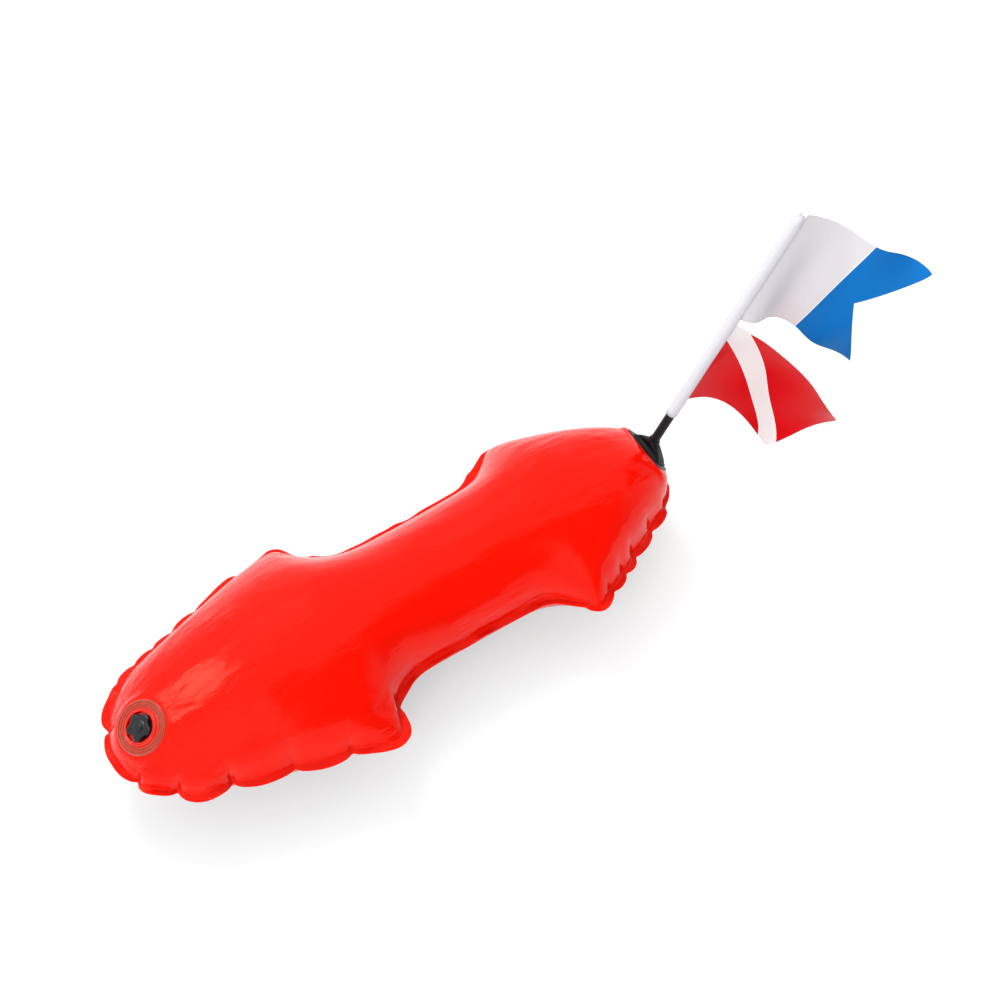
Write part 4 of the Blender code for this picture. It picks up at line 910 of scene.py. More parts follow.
    def puckers(self) -> list[Pucker]:
        """Return every notch in order along the seam."""
        found = []
        for notches, side in ((self.near_puckers, -1), (self.far_puckers, 1)):
            for x, y, depth, swell in notches:
                nearest = np.linalg.norm(self.edge - (x, side * y), axis=1).argmin()
                found.append(Pucker(float(self.seam_places[0][nearest]), depth, swell))
        return sorted(found, key=lambda item: item.place)

    @cached_property
    def scallops(self) -> tuple[np.ndarray, np.ndarray, np.ndarray]:
        """Outward shift of the margin at every station, and the nearest notch's depth and distance."""
        places, half = self.seam_places
        notches = self.puckers()
        shift = np.zeros(self.stations)
        deep = np.zeros(self.stations)
        away = np.full(self.stations, 1.0)
        for first, second in zip(notches, [*notches[1:], notches[0]]):
            start, end = first.place, second.place
            if end < start:
                end += 2 * half
            inside = (places - start) % (2 * half)
            span = end - start
            within = inside <= span
            share = np.clip(inside / span, 0.0, 1.0)
            swell = first.swell if first.place > 0 else second.swell
            if first.place < 0 < second.place:
                swell = self.nose_swell
            if span > self.taut:
                swell = 0.0
                arch = 1 - np.exp(-(np.minimum(inside, span - inside) / self.taut_end) ** 2)
            else:
                arch = np.sin(math.pi * share) ** self.lobe_round
            depth = first.depth + (second.depth - first.depth) * share
            lobe = -depth + (depth + swell) * arch
            shift = np.where(within, lobe, shift)
            away = np.where(within, np.minimum(inside, span - inside), away)
            deep = np.where(within, np.where(inside < span / 2, first.depth, second.depth), deep)
        return shift, deep, away

    def puckered(self, rows: np.ndarray, clear: np.ndarray) -> np.ndarray:
        """Draw the lobes and creases of the margin into the smooth rows of a panel."""
        shift, deep, away = self.scallops
        steps = np.linalg.norm(np.diff(rows, axis=0), axis=-1)
        reach = np.concatenate([np.zeros((1, rows.shape[1])), np.cumsum(steps, axis=0)])
        free = np.clip(clear / self.seat_fade, 0.0, 1.0)
        fade = self.weld_share * np.exp(-(reach / self.lobe_reach) ** 1.5) * free
        moved = rows.copy()
        moved[..., :2] += self.normal[None] * (shift[None] * fade)[..., None]
        width = self.crease_width + self.crease_spread * reach
        crease = np.exp(-(away[None] / width) ** 2) * np.exp(-(reach / self.crease_reach) ** 2) * free
        calm, run_in = self.tail_calm_from
        crease *= 1 - self.tail_calm * eased((self.edge[:, 0] - calm) / run_in)[None]
        moved[..., :2] -= self.normal[None] * (crease * self.crease_draw * deep[None])[..., None]
        height = moved[..., 2] - self.seam
        drop = np.minimum(self.crease_drop, (deep / self.crease_depth) ** 2)
        moved[..., 2] -= height * crease * drop[None]
        return moved

    def margin(self, weld: np.ndarray) -> np.ndarray:
        """Return the rows of the welded margin from its outer edge to the weld line."""
        places = self.seam_places[0]
        shift, deep, away = self.scallops
        rim = weld.copy()
        x, y = self.edge.T
        front, run_in = self.far_front
        rear, run_out = self.far_rear
        wide = self.far_width * eased((y - front) / run_in) * eased((rear - x) / run_out)
        rim[:, :2] += self.normal * (self.weld + (1 - self.weld_share) * shift + wide)[:, None]
        wave = sum(share * np.sin(places * math.tau / length + start) for length, share, start in self.waves)
        rim[:, 2] += self.wave_rise * wave
        rim[:, 2] -= self.notch_drop * deep * np.exp(-(away / self.notch_width) ** 2)
        return self.strip(rim, weld)

    def strip(self, rim: np.ndarray, weld: np.ndarray) -> np.ndarray:
        """Return evenly spaced rows from the outer edge to the weld line."""
        return rim + (weld - rim) * np.linspace(0.0, 1.0, self.margin_rows)[:, None, None]

    def seeded(self) -> tuple[dict, np.ndarray, dict]:
        """Return the puckered rows of both panels, those of the margin, and the clearances of the seats."""
        rows, clearance = {}, {}
        for side in Side:
            smooth, clear = self.seated(self.dome(side), side)
            rows[side] = self.puckered(smooth, clear)
            clearance[side] = clear
        return rows, self.margin(rows[Side.UPPER][0]), clearance

    def sheet(self, rows: np.ndarray, rim: np.ndarray) -> BMesh:
        """Build one open sheet through rows that end on the spine.

        Args:
            rows: Rows of points from the outer edge inwards.
            rim: Distance of each row from the outer edge.

        Returns:
            The sheet, its faces towards +Z.
        """
        bm = bmesh.new()
        bm.verts.layers.float.new("rim")
        edges = first_row(bm, rows[0])
        for number, row in enumerate(rows[1:], 1):
            edges = next_row(bm, edges, row, number)
        level = bm.verts.layers.int["level"]
        depth = bm.verts.layers.float["rim"]
        for vert in bm.verts:
            vert[depth] = rim[vert[level]]
        self.close_spine(bm, len(rows) - 1)
        bm.normal_update()
        if sum(face.normal.z * face.calc_area() for face in bm.faces) < 0:
            bmesh.ops.reverse_faces(bm, faces=bm.faces)
        return bm

    def close_spine(self, bm: BMesh, last: int) -> None:
        """Merge the two sides of the last row, which lies on the centre line."""
        level = bm.verts.layers.int["level"]
        row = [vert for vert in bm.verts if vert[level] == last]
        bmesh.ops.remove_doubles(bm, verts=row, dist=0.00008)

    def settle(self, rows: dict, margin: np.ndarray, clearance: dict) -> tuple[dict, np.ndarray]:
        """Let the film settle under air pressure, held softly to where it started.

        Args:
            rows: Puckered rows of both panels.
            margin: Rows of the margin.
            clearance: Distance of every point of the rows from the nearest seat.

        Returns:
            The settled rows and margin.
        """
        start = np.array([margin[0], margin[-1], *rows[Side.UPPER][1:], *rows[Side.LOWER][1:]])
        below = 2 + self.rows
        bm = self.sheet(start[:below], np.zeros(below))
        level = bm.verts.layers.int["level"]
        edges = [edge for edge in bm.edges if all(vert[level] == 1 for vert in edge.verts)]
        for number in range(below, len(start)):
            edges = next_row(bm, edges, start[number], number)
        self.close_spine(bm, len(start) - 1)
        mesh = meshed(bm, "film")
        item = linked("film", mesh)
        log.info("settling %d points", len(mesh.vertices))
        levels = np.empty(len(mesh.vertices), dtype=np.int32)
        mesh.attributes["level"].data.foreach_get("value", levels)
        stations = np.empty_like(levels)
        mesh.attributes["station"].data.foreach_get("value", stations)
        clear = np.vstack([np.full((2, self.stations), 1.0), clearance[Side.UPPER][1:],
                           clearance[Side.LOWER][1:]])
        self.hold_points(item, levels, clear[levels, stations])
        self.press(item)
        graph = bpy.context.evaluated_depsgraph_get()
        moved = np.empty(len(mesh.vertices) * 3, dtype=np.float32)
        item.evaluated_get(graph).data.vertices.foreach_get("co", moved)
        moved = moved.reshape(-1, 3).astype(float)
        settled = start.copy()
        settled[levels, stations] = moved
        for last in (below - 1, len(start) - 1):
            twin = levels == last
            settled[last, -stations[twin] % self.stations] = moved[twin]
        shift = settled - start
        size = np.linalg.norm(shift, axis=-1, keepdims=True)
        log.info("film moved up to %.1f mm, %.2f mm on average", size.max() * 1000, size.mean() * 1000)
        shift *= np.minimum(1.0, self.cap / np.maximum(size, 1e-9))
        settled = start + shift
        bpy.data.objects.remove(item)
        panels = {Side.UPPER: settled[1:below], Side.LOWER: np.concatenate([settled[1:2], settled[below:]])}
        return panels, self.strip(settled[0], settled[1])

    def hold_points(self, item: Object, levels: np.ndarray, clear: np.ndarray) -> None:
        """Give the film its hold: firm on the seats, soft elsewhere."""
        firm = np.clip(1 - clear / self.firm_reach, 0.0, 1.0)
        weight = np.maximum(firm, self.hold)
        group = item.vertex_groups.new(name="hold")
        air = item.vertex_groups.new(name="air")
        for index, value in enumerate(weight):
            group.add([index], float(value), "REPLACE")
        air.add(np.flatnonzero(levels >= 2).tolist(), 1.0, "REPLACE")

    def press(self, item: Object) -> None:
        """Run the cloth under air pressure."""
        item.shape_key_add(name="Basis")
        cloth = item.modifiers.new("air", "CLOTH")
        assign(cloth.settings, quality=5, mass=0.12, tension_stiffness=20.0, compression_stiffness=20.0,
               shear_stiffness=8.0, bending_stiffness=0.6, use_pressure=True,
               uniform_pressure_force=self.pressure, vertex_group_pressure="air", vertex_group_mass="hold",
               pin_stiffness=1.0)
        cloth.settings.effector_weights.gravity = 0.0
        assign(cloth.collision_settings, use_collision=False, use_self_collision=False)
        assign(cloth.point_cache, frame_start=1, frame_end=self.frames)
        for number in range(1, self.frames + 1):
            bpy.context.scene.frame_set(number)

    def build(self) -> None:
        """Make the upper and the lower skin."""
        rows, margin, clearance = self.seeded()
        rows, margin = self.settle(rows, margin, clearance)
        pieces = ((Side.UPPER, "upper_skin", "upper_panel"), (Side.LOWER, "lower_skin", "lower_panel"))
        for side, name, node in pieces:
            reach = np.linalg.norm(rows[side] - rows[side][0][None], axis=-1).mean(axis=1)[1:] + self.weld
            rim = np.concatenate([np.linspace(0.0, self.weld, self.margin_rows), reach])
            stack = np.concatenate([margin, rows[side][1:]])
            stack[..., 2] += side.value * GAP / 3
            bm = self.sheet(stack, rim)
            if side is Side.LOWER:
                bmesh.ops.reverse_faces(bm, faces=bm.faces)
            else:
                self.bore(bm)
            self.even_spine(bm, len(stack) - 1, side)
            item = finished(bm, name, HULL_FILM, "float", node)
            item.data.set_sharp_from_angle(angle=math.pi)
            assign(item.modifiers.new("smooth", "SUBSURF"), levels=1, render_levels=1)
            assign(item.modifiers.new("skin", "SOLIDIFY"), thickness=SKIN, offset=1.0)

    def even_spine(self, bm: BMesh, last: int, side: Side) -> None:
        """Smooth the skin along the centre line, away from the seats."""
        level = bm.verts.layers.int["level"]
        crest = [vert for vert in bm.verts if vert[level] >= last - self.even_rows]
        spots = np.array([vert.co for vert in crest])
        clear = self.seated(spots[:, None, :], side)[1][:, 0]
        free = [vert for vert, away in zip(crest, clear) if away > self.even_clear and not vert.is_boundary]
        for _ in range(10):
            bmesh.ops.smooth_vert(bm, verts=free, factor=0.5, use_axis_x=True, use_axis_y=True,
                                  use_axis_z=True)

    def bore(self, bm: BMesh) -> None:
        """Open the skin under the valve and round the edge of the hole."""
        matrix = VALVE.matrix
        inverse = matrix.inverted()
        radius = VALVE.bore + VALVE.skirt_wall + GAP
        local = {vert: inverse @ vert.co for vert in bm.verts}
        near = [vert for vert, spot in local.items() if spot.xy.length < radius and spot.z > -self.bore_reach]
        bmesh.ops.delete(bm, geom=near, context="VERTS")
        rim = {vert for edge in bm.edges if edge.is_boundary for vert in edge.verts
               if (inverse @ vert.co).xy.length < radius * 1.8}
        for vert in rim:
            local = inverse @ vert.co
            local.xy = local.xy.normalized() * radius
            vert.co = matrix @ local


HULL = Hull()


@dataclass
class Valve:
    """Screw valve: soft flange, rigid seat, seal, check membrane and lobed cap."""

    flange_radius: float = 0.0337
    flange_thick: float = 0.0009
    ribs: tuple = (0.0316, 0.0284, 0.0252)
    rib_half: float = 0.0009
    rib_rise: float = 0.0011
    collar: float = 0.0226
    collar_rise: float = 0.0034
    bore: float = 0.0205
    skirt_depth: float = 0.0030
    skirt_wall: float = 0.0014
    seat_wall: float = 0.0017
    ledge_depth: float = 0.0056
    ledge_thick: float = 0.0020
    seat_bore: float = 0.0128
    tube_wall: float = 0.0020
    tube_depth: float = 0.0086
    spider_thick: float = 0.0016
    arm_half: float = 0.0011
    hub: float = 0.0034
    disc: float = 0.0138
    disc_thick: float = 0.0009
    disc_stem: float = 0.0012
    bead: float = 0.0022
    bead_height: float = 0.0018
    thread_rise: float = 0.0004
    thread_pitch: float = 0.0020
    thread_half: float = 0.0007
    thread_gap: float = 0.0012
    seal_cord: float = 0.0011
    cap_radius: float = 0.0152
    cap_lobe: float = 0.0021
    cap_lobes: int = 5
    cap_thick: float = 0.0052
    cap_phase: float = 12.0
    boss: float = 0.0062
    boss_rise: float = 0.0018
    boss_edge: float = 0.0014
    cap_sides: int = 160
    plug_wall: float = 0.0018
    plug_depth: float = 0.0082

    def __post_init__(self) -> None:
        """Place the valve on its joint and work out its levels."""
        turn = joint("cap_turn")
        self.matrix = axes(Vector(turn["pos_m"]), Vector(turn["axis"]), Vector((1.0, 0.0, 0.0)))
        self.face = SKIN + GAP + self.flange_thick
        self.top = self.face + self.collar_rise
        self.ledge = self.top - self.ledge_depth
        self.tube_bottom = self.ledge - self.tube_depth
        self.head = self.ledge + 2 * GAP + 2 * self.seal_cord

    def flange(self) -> None:
        """Soft disc with raised rings, its collar gripping the seat."""
        base = SKIN + GAP * 0.5
        outer = self.bore + self.skirt_wall
        profile = [
            (self.bore, self.top - 0.0002, 0.0003), (self.collar - self.rib_half * 1.2, self.top, 0.0006),
            (self.collar + 0.0004, self.face, 0.0004),
        ]
        for radius in reversed(self.ribs):
            profile.extend((radius + self.rib_half * share, self.face + rise, 0.0003) for share, rise in
                           ((-1.25, 0.0), (-0.5, self.rib_rise), (0.5, self.rib_rise), (1.25, 0.0)))
        profile.extend([
            (self.flange_radius, self.face - self.flange_thick * 0.35, 0.0003),
            (self.flange_radius, base, 0.0), (outer, base, 0.0), (outer, base - self.skirt_depth, 0.0003),
            (self.bore, base - self.skirt_depth, 0.0003),
        ])
        bm = spun(fillet(profile, closed=True), 120, self.matrix, closed=True)
        reach = bm.verts.layers.float.new("reach")
        inverse = self.matrix.inverted()
        for vert in bm.verts:
            vert[reach] = (inverse @ vert.co).xy.length
        finished(bm, "valve_flange_soft", FLANGE_PVC, "float", "valve_flange")

    def seat(self) -> None:
        """Rigid seat with its counterbore, ledge, threaded tube and spider."""
        outer = self.bore - GAP
        tube = self.seat_bore + self.tube_wall
        under = self.ledge - self.ledge_thick
        profile = [
            (self.seat_bore, self.ledge, 0.0004), (outer - self.seat_wall, self.ledge, 0.0006),
            (outer - self.seat_wall, self.top + 0.0004, 0.0005), (outer, self.top + 0.0004, 0.0005),
            (outer, under, 0.0003), (tube, under, 0.0004), (tube, self.tube_bottom, 0.0002),
            (self.seat_bore, self.tube_bottom, 0.0002),
        ]
        lowest = self.tube_bottom + self.spider_thick + self.thread_gap
        profile.extend(self.thread(self.seat_bore, lowest, -self.thread_rise, 1))
        bm = spun(fillet(profile, closed=True), 96, self.matrix, closed=True)
        finished(bm, "valve_seat_ring", SEAT_PLASTIC, "float", "valve_seat")
        self.spider()

    def thread(self, radius: float, start: float, rise: float, way: int) -> list[tuple]:
        """Return the corners of three thread rings on a wall, going up for way 1 and down for way -1."""
        corners = []
        for index in range(3):
            height = start + way * index * self.thread_pitch
            corners.extend([(radius, height, 0.0), (radius + rise, height + way * self.thread_half, 0.0),
                            (radius, height + 2 * way * self.thread_half, 0.0)])
        return corners

    def spider(self) -> None:
        """Hub and arms that carry the check membrane, across the bottom of the tube."""
        bm = bmesh.new()
        middle = Matrix.Translation((0.0, 0.0, self.tube_bottom + self.spider_thick / 2))
        bmesh.ops.create_cone(bm, cap_ends=True, segments=32, radius1=self.hub, radius2=self.hub,
                              depth=self.spider_thick, matrix=middle)
        reach = self.seat_bore + self.tube_wall / 2
        for quarter in range(4):
            size = Matrix.Diagonal((reach - self.hub * 0.8, 2 * self.arm_half, self.spider_thick, 1.0))
            shift = Matrix.Translation(((reach + self.hub * 0.8) / 2, 0.0, 0.0))
            arm = middle @ Matrix.Rotation(quarter * math.pi / 2 + math.pi / 4, 4, "Z") @ shift @ size
            bmesh.ops.create_cube(bm, size=1.0, matrix=arm)
        bmesh.ops.transform(bm, matrix=self.matrix, verts=bm.verts)
        finished(bm, "valve_spider", SEAT_PLASTIC, "float")

    def membrane(self) -> None:
        """Rubber check disc with its stem and bead."""
        face = self.tube_bottom - GAP
        bead = self.tube_bottom + self.spider_thick + 0.0015 + GAP
        top = bead + self.bead_height
        under = face - self.disc_thick
        profile = [
            (0.0, top, 0.0), (self.bead - 0.0005, top, 0.0005), (self.bead, bead, 0.0003),
            (self.disc_stem, bead, 0.0001),
            (self.disc_stem, face, 0.0003), (self.disc, face, 0.0003), (self.disc, under, 0.0003),
            (0.0, under, 0.0),
        ]
        bm = spun(fillet(profile), 64, self.matrix)
        finished(bm, "check_disc", BLACK_RUBBER, "check_membrane", "valve_membrane")

    def seal(self) -> None:
        """O-ring on the ledge."""
        radius = self.seat_bore - 0.0004 + GAP + self.seal_cord
        ring = arc((radius, self.ledge + GAP + self.seal_cord), self.seal_cord, 0.0, math.tau, 16)[:-1]
        finished(spun(ring, 96, self.matrix, closed=True), "cap_o_ring", BLACK_RUBBER, "cap_lift", "cap_seal")

    def cap(self) -> None:
        """Lobed head with a soft boss, and the hollow threaded plug under it."""
        top = self.head + self.cap_thick
        levels = [
            (-0.0012, 0.6, self.head), (0.0, 1.0, self.head + 0.0008), (0.0002, 1.0, self.head + 0.0030),
            (0.0, 1.0, top - 0.0013), (-0.0005, 0.97, top - 0.0005), (-0.0014, 0.9, top - 0.0001),
            (-0.0026, 0.75, top), (-0.0058, 0.30, top - 0.0004), (-0.0078, 0.0, top - 0.0003),
        ]
        edge = self.boss_edge
        crown = arc((self.boss - 0.0016, top + self.boss_rise - edge), edge, 0.0, math.pi / 2, 4)
        levels.extend((radius - self.cap_radius, 0.0, height) for radius, height in crown)
        angles = turns(self.cap_sides)
        wave = np.cos(self.cap_lobes * angles)
        bulb = np.copysign(np.abs(wave) ** 0.8, wave)
        rows = []
        for shrink, lobe, height in levels:
            radius = self.cap_radius + shrink + self.cap_lobe * lobe * bulb
            rows.append(np.column_stack([radius * np.cos(angles), radius * np.sin(angles),
                                         np.full_like(angles, height)]))
        bm = stacked(rows)
        plug = self.seat_bore - 0.0004 - self.thread_rise
        bottom = self.head - self.plug_depth
        profile = [(plug, self.head + 0.0010, 0.0)]
        profile.extend(self.thread(plug, self.head - 0.0022, self.thread_rise * 0.8, -1))
        profile.extend([(plug, bottom, 0.0004), (plug - self.plug_wall, bottom, 0.0004),
                        (plug - self.plug_wall, self.head - 0.0010, 0.0008), (0.0, self.head - 0.0010, 0.0),
                        (0.0, self.head + 0.0010, 0.0)])
        core = spun(fillet(profile, closed=True), 96, Matrix.Identity(4), closed=True)
        bm.from_mesh(meshed(core, "core"))
        bmesh.ops.transform(bm, matrix=self.matrix @ Matrix.Rotation(math.radians(self.cap_phase), 4, "Z"),
                             verts=bm.verts)
        finished(bm, "valve_cap_lobed", BLACK_PLASTIC, "cap", "valve_cap")

    def build(self) -> None:
        """Make every piece of the valve."""
        self.flange()
        self.seat()
        self.membrane()
        self.seal()
        self.cap()


VALVE = Valve()


@dataclass
class Mast:
    """Patch, boot, stem, rod, tip and sleeve at the tail, and the frame that the flags hang in."""

    patch_thick: float = 0.0008
    patch: tuple = (0.034, 0.0365, 0.030, 0.007)
    boot_centre: float = 0.0010
    plate: tuple = (0.0275, 0.0520, 0.0022)
    body: tuple = (0.0262, 0.0465)
    steps: int = 2
    step_in: float = 0.0022
    step_rise: float = 0.0011
    squareness: float = 7.0
    flank_swell: float = 0.06
    edge: float = 0.0004
    collar: float = 0.0076
    collar_height: float = 0.0028
    collar_rise: float = 0.0030
    stem_radius: float = 0.0058
    stem_foot: float = 0.0062
    stem_length: float = 0.060
    stem_bore: float = 0.046
    rod_radius: float = 0.0030
    rod_top: float = 0.360
    tip_radius: float = 0.0048
    sleeve_bottom: float = 0.0475
    sleeve_top: float = 0.3720
    sleeve_wall: float = 0.0006
    sleeve_bore: float = 0.0064
    sleeve_wide: float = 0.0076
    sleeve_sides: int = 72
    crumple_reach: float = 0.016
    crumple_rise: float = 0.0012
    shut_reach: float = 0.0045

    def __post_init__(self) -> None:
        """Place the mast on its joint and the boot on its patch."""
        swing = joint("flag_swing")
        self.matrix = axes(Vector(swing["pos_m"]), Vector(swing["axis"]), Vector((1.0, 0.0, 0.0)))
        self.seat, _ = seat_of("mast_patch", Vector((1.0, 0.0, -1.0)))

    def weld_patch(self) -> None:
        """Thin patch welded to the tail, wider in front than behind."""
        length, front, rear, corner = self.patch
        half = length / 2
        outline = fillet([(-half, -front, corner), (half, -rear, corner), (half, rear, corner),
                          (-half, front, corner)], closed=True, step=10)
        levels = ((0.0, 0.0), (0.0, 0.55), (0.0004, 0.95), (0.0016, 1.0), (0.0024, 0.72), (0.0036, 0.72),
                  (0.0044, 1.0))
        rows = [[self.seat @ Vector((x - math.copysign(inset, x), y - math.copysign(inset, y),
                                     self.patch_thick * share)) for x, y in outline]
                for inset, share in levels]
        finished(stacked(rows), "mast_weld_patch", BLACK_PVC, "float", "mast_patch")

    def boot(self) -> None:
        """Stepped boot from a wide plate to a round collar square to the mast."""
        inverse = self.seat.inverted()
        foot = inverse @ self.matrix.translation
        mast = (inverse.to_3x3() @ Vector(self.matrix.col[2][:3])).normalized()
        slant = Vector((mast.z, 0.0, -mast.x))
        base = self.patch_thick + GAP
        count = 96
        rows = []

        def ring(centre: Vector, first: Vector, half_first: float, half_second: float, power: float) -> None:
            """Add a row of points round a centre."""
            points = [centre + first * x + Vector((0.0, y, 0.0))
                      for x, y in superellipse(half_first, half_second, power, count)]
            rows.append([self.seat @ point for point in points])

        def rounded(low: float, high: float) -> tuple:
            """Return heights and insets of a wall whose upper edge is rounded."""
            return ((low, 0.0), (high - self.edge, 0.0), (high - self.edge * 0.3, self.edge * 0.3),
                    (high, self.edge))

        def step(low: float, high: float, length: float, width: float) -> None:
            """Add the rows of a step."""
            for height, inset in rounded(low, high):
                ring(Vector((self.boot_centre, 0.0, height)), Vector((1.0, 0.0, 0.0)), length / 2 - inset,
                     width / 2 - inset, self.squareness)

        low = base + self.plate[2]
        step(base, low, self.plate[0], self.plate[1])
        for index in range(self.steps):
            length, width = (size - self.step_in * index for size in self.body)
            step(low, low + self.step_rise, length, width)
            low += self.step_rise
        top = foot + mast * self.collar_rise
        neck = top - mast * self.collar_height
        floor = Vector((self.boot_centre, 0.0, low))
        rise = neck - floor
        for share in (0.08, 0.3, 0.55, 0.8):
            swell = 1 + self.flank_swell * math.sin(math.pi * share)
            lower = superellipse(length / 2, width / 2, self.squareness, count)
            upper = superellipse(self.collar, self.collar, 2.0, count)
            points = []
            for (x, y), (u, v) in zip(lower, upper):
                start = Vector((x, y, 0.0))
                finish = rise + slant * u + Vector((0.0, v, 0.0))
                middle = rise * share
                points.append(floor + middle + (start.lerp(finish, share) - middle) * swell)
            rows.append([self.seat @ point for point in points])
        for along, inset in rounded(0.0, self.collar_height):
            ring(neck + mast * along, slant, self.collar - inset, self.collar - inset, 2.0)
        bore = self.stem_foot + 0.0001
        for down in (0.0, 0.006):
            ring(top - mast * down, slant, bore, bore, 2.0)
        finished(stacked(rows), "mast_boot_stepped", BLACK_RUBBER, "float", "mast_boot")

    def stem(self) -> None:
        """Flexible stem pressed in the collar."""
        bore = self.rod_radius + GAP
        floor = self.stem_length - self.stem_bore
        profile = [
            (0.0, floor, 0.0), (bore, floor, 0.0), (bore, self.stem_length, 0.0003),
            (self.stem_radius, self.stem_length, 0.0006), (self.stem_radius, 0.0090, 0.0),
            (self.stem_foot, 0.0036, 0.0010), (self.stem_foot, -0.0030, 0.0), (0.0, -0.0030, 0.0),
        ]
        finished(spun(fillet(profile), 64, self.matrix), "mast_stem_soft", BLACK_RUBBER, "float", "mast_stem")

    def rod(self) -> None:
        """Slim rod in the stem, with its soft tip."""
        bottom = self.stem_length - self.stem_bore + GAP
        profile = [(0.0, self.rod_top, 0.0), (self.rod_radius, self.rod_top, 0.0005),
                   (self.rod_radius, bottom, 0.0005), (0.0, bottom, 0.0)]
        finished(spun(fillet(profile), 48, self.matrix), "mast_rod_slim", ROD_PLASTIC, "mast", "mast_rod")
        bore = self.rod_radius + GAP
        dome = arc((0.0, self.rod_top + GAP), self.tip_radius, math.pi / 2, 0.0, 10)
        low = self.rod_top - 0.011
        tip = [(0.0, self.rod_top + GAP + self.tip_radius), *dome[1:], (self.tip_radius, low), (bore, low),
               (bore, self.rod_top + GAP), (0.0, self.rod_top + GAP)]
        finished(spun(tip, 48, self.matrix), "mast_tip_soft", BLACK_RUBBER, "mast", "mast_tip")

    def sleeve_radius(self, along: float) -> float:
        """Return the sleeve's outer radius at a place along the mast."""
        share = (along - self.sleeve_bottom) / (self.sleeve_top - self.sleeve_bottom)
        bottom = self.sleeve_bore + self.sleeve_wall
        return bottom + (self.sleeve_wide - bottom) * share

    def sleeve(self) -> Object:
        """White sleeve, its vinyl painted grey for the shade on the tube: open below, crumpled shut over the
        tip.
        """
        phases = np.random.default_rng(11).uniform(0.0, math.tau, 6)
        top = self.sleeve_top
        heights = [*np.linspace(self.sleeve_bottom, top - 0.014, 60),
                   *np.linspace(top - 0.013, top - 0.0035, 8), top - 0.0015, top - 0.0005]
        angles = turns(self.sleeve_sides)
        rows = []
        for height in heights:
            crumple = np.clip((height - top + self.crumple_reach) / 0.014, 0.0, 1.0) ** 1.3
            shut = np.clip((height - top + self.shut_reach) / 0.004, 0.0, 1.0)
            ripple = sum(np.sin(angles * (k + 2) + phase + 225 * height * (k % 3 - 1)) / (k + 2)
                         for k, phase in enumerate(phases))
            rough = self.crumple_rise * crumple
            soft = 1 + 0.012 * np.sin(height * 55 + 2 * angles) + 0.010 * np.sin(height * 131 + angles)
            radius = self.sleeve_radius(height) * soft * (1 - 0.10 * crumple - 0.62 * shut)
            radius += 0.0016 * crumple * ripple
            points = zip(radius * np.cos(angles) + rough, radius * np.sin(angles), height + rough * ripple)
            rows.append([self.matrix @ Vector(point) for point in points])
        bm = stacked(rows, closed_ends=False)
        rim = [edge for edge in bm.edges if edge.is_boundary and
               (self.matrix.inverted() @ edge.verts[0].co).z > top - 0.01]
        bmesh.ops.edgeloop_fill(bm, edges=rim)
        bmesh.ops.recalc_face_normals(bm, faces=bm.faces)
        middle = self.matrix @ Vector((0.0, 0.0, 0.2))
        bm.normal_update()
        face = bm.faces[self.sleeve_sides * 20]
        if face.normal.dot(face.calc_center_median() - middle) < 0:
            bmesh.ops.reverse_faces(bm, faces=bm.faces)
        item = finished(bm, "flag_sleeve_tube", SHADED_SLEEVE_VINYL, "flags", "flag_sleeve")
        assign(item.modifiers.new("wall", "SOLIDIFY"), thickness=self.sleeve_wall, offset=-1.0)
        return item

    def build(self) -> None:
        """Make the mast's pieces."""
        self.weld_patch()
        self.boot()
        self.stem()
        self.rod()
        sleeve = self.sleeve()


MAST = Mast()


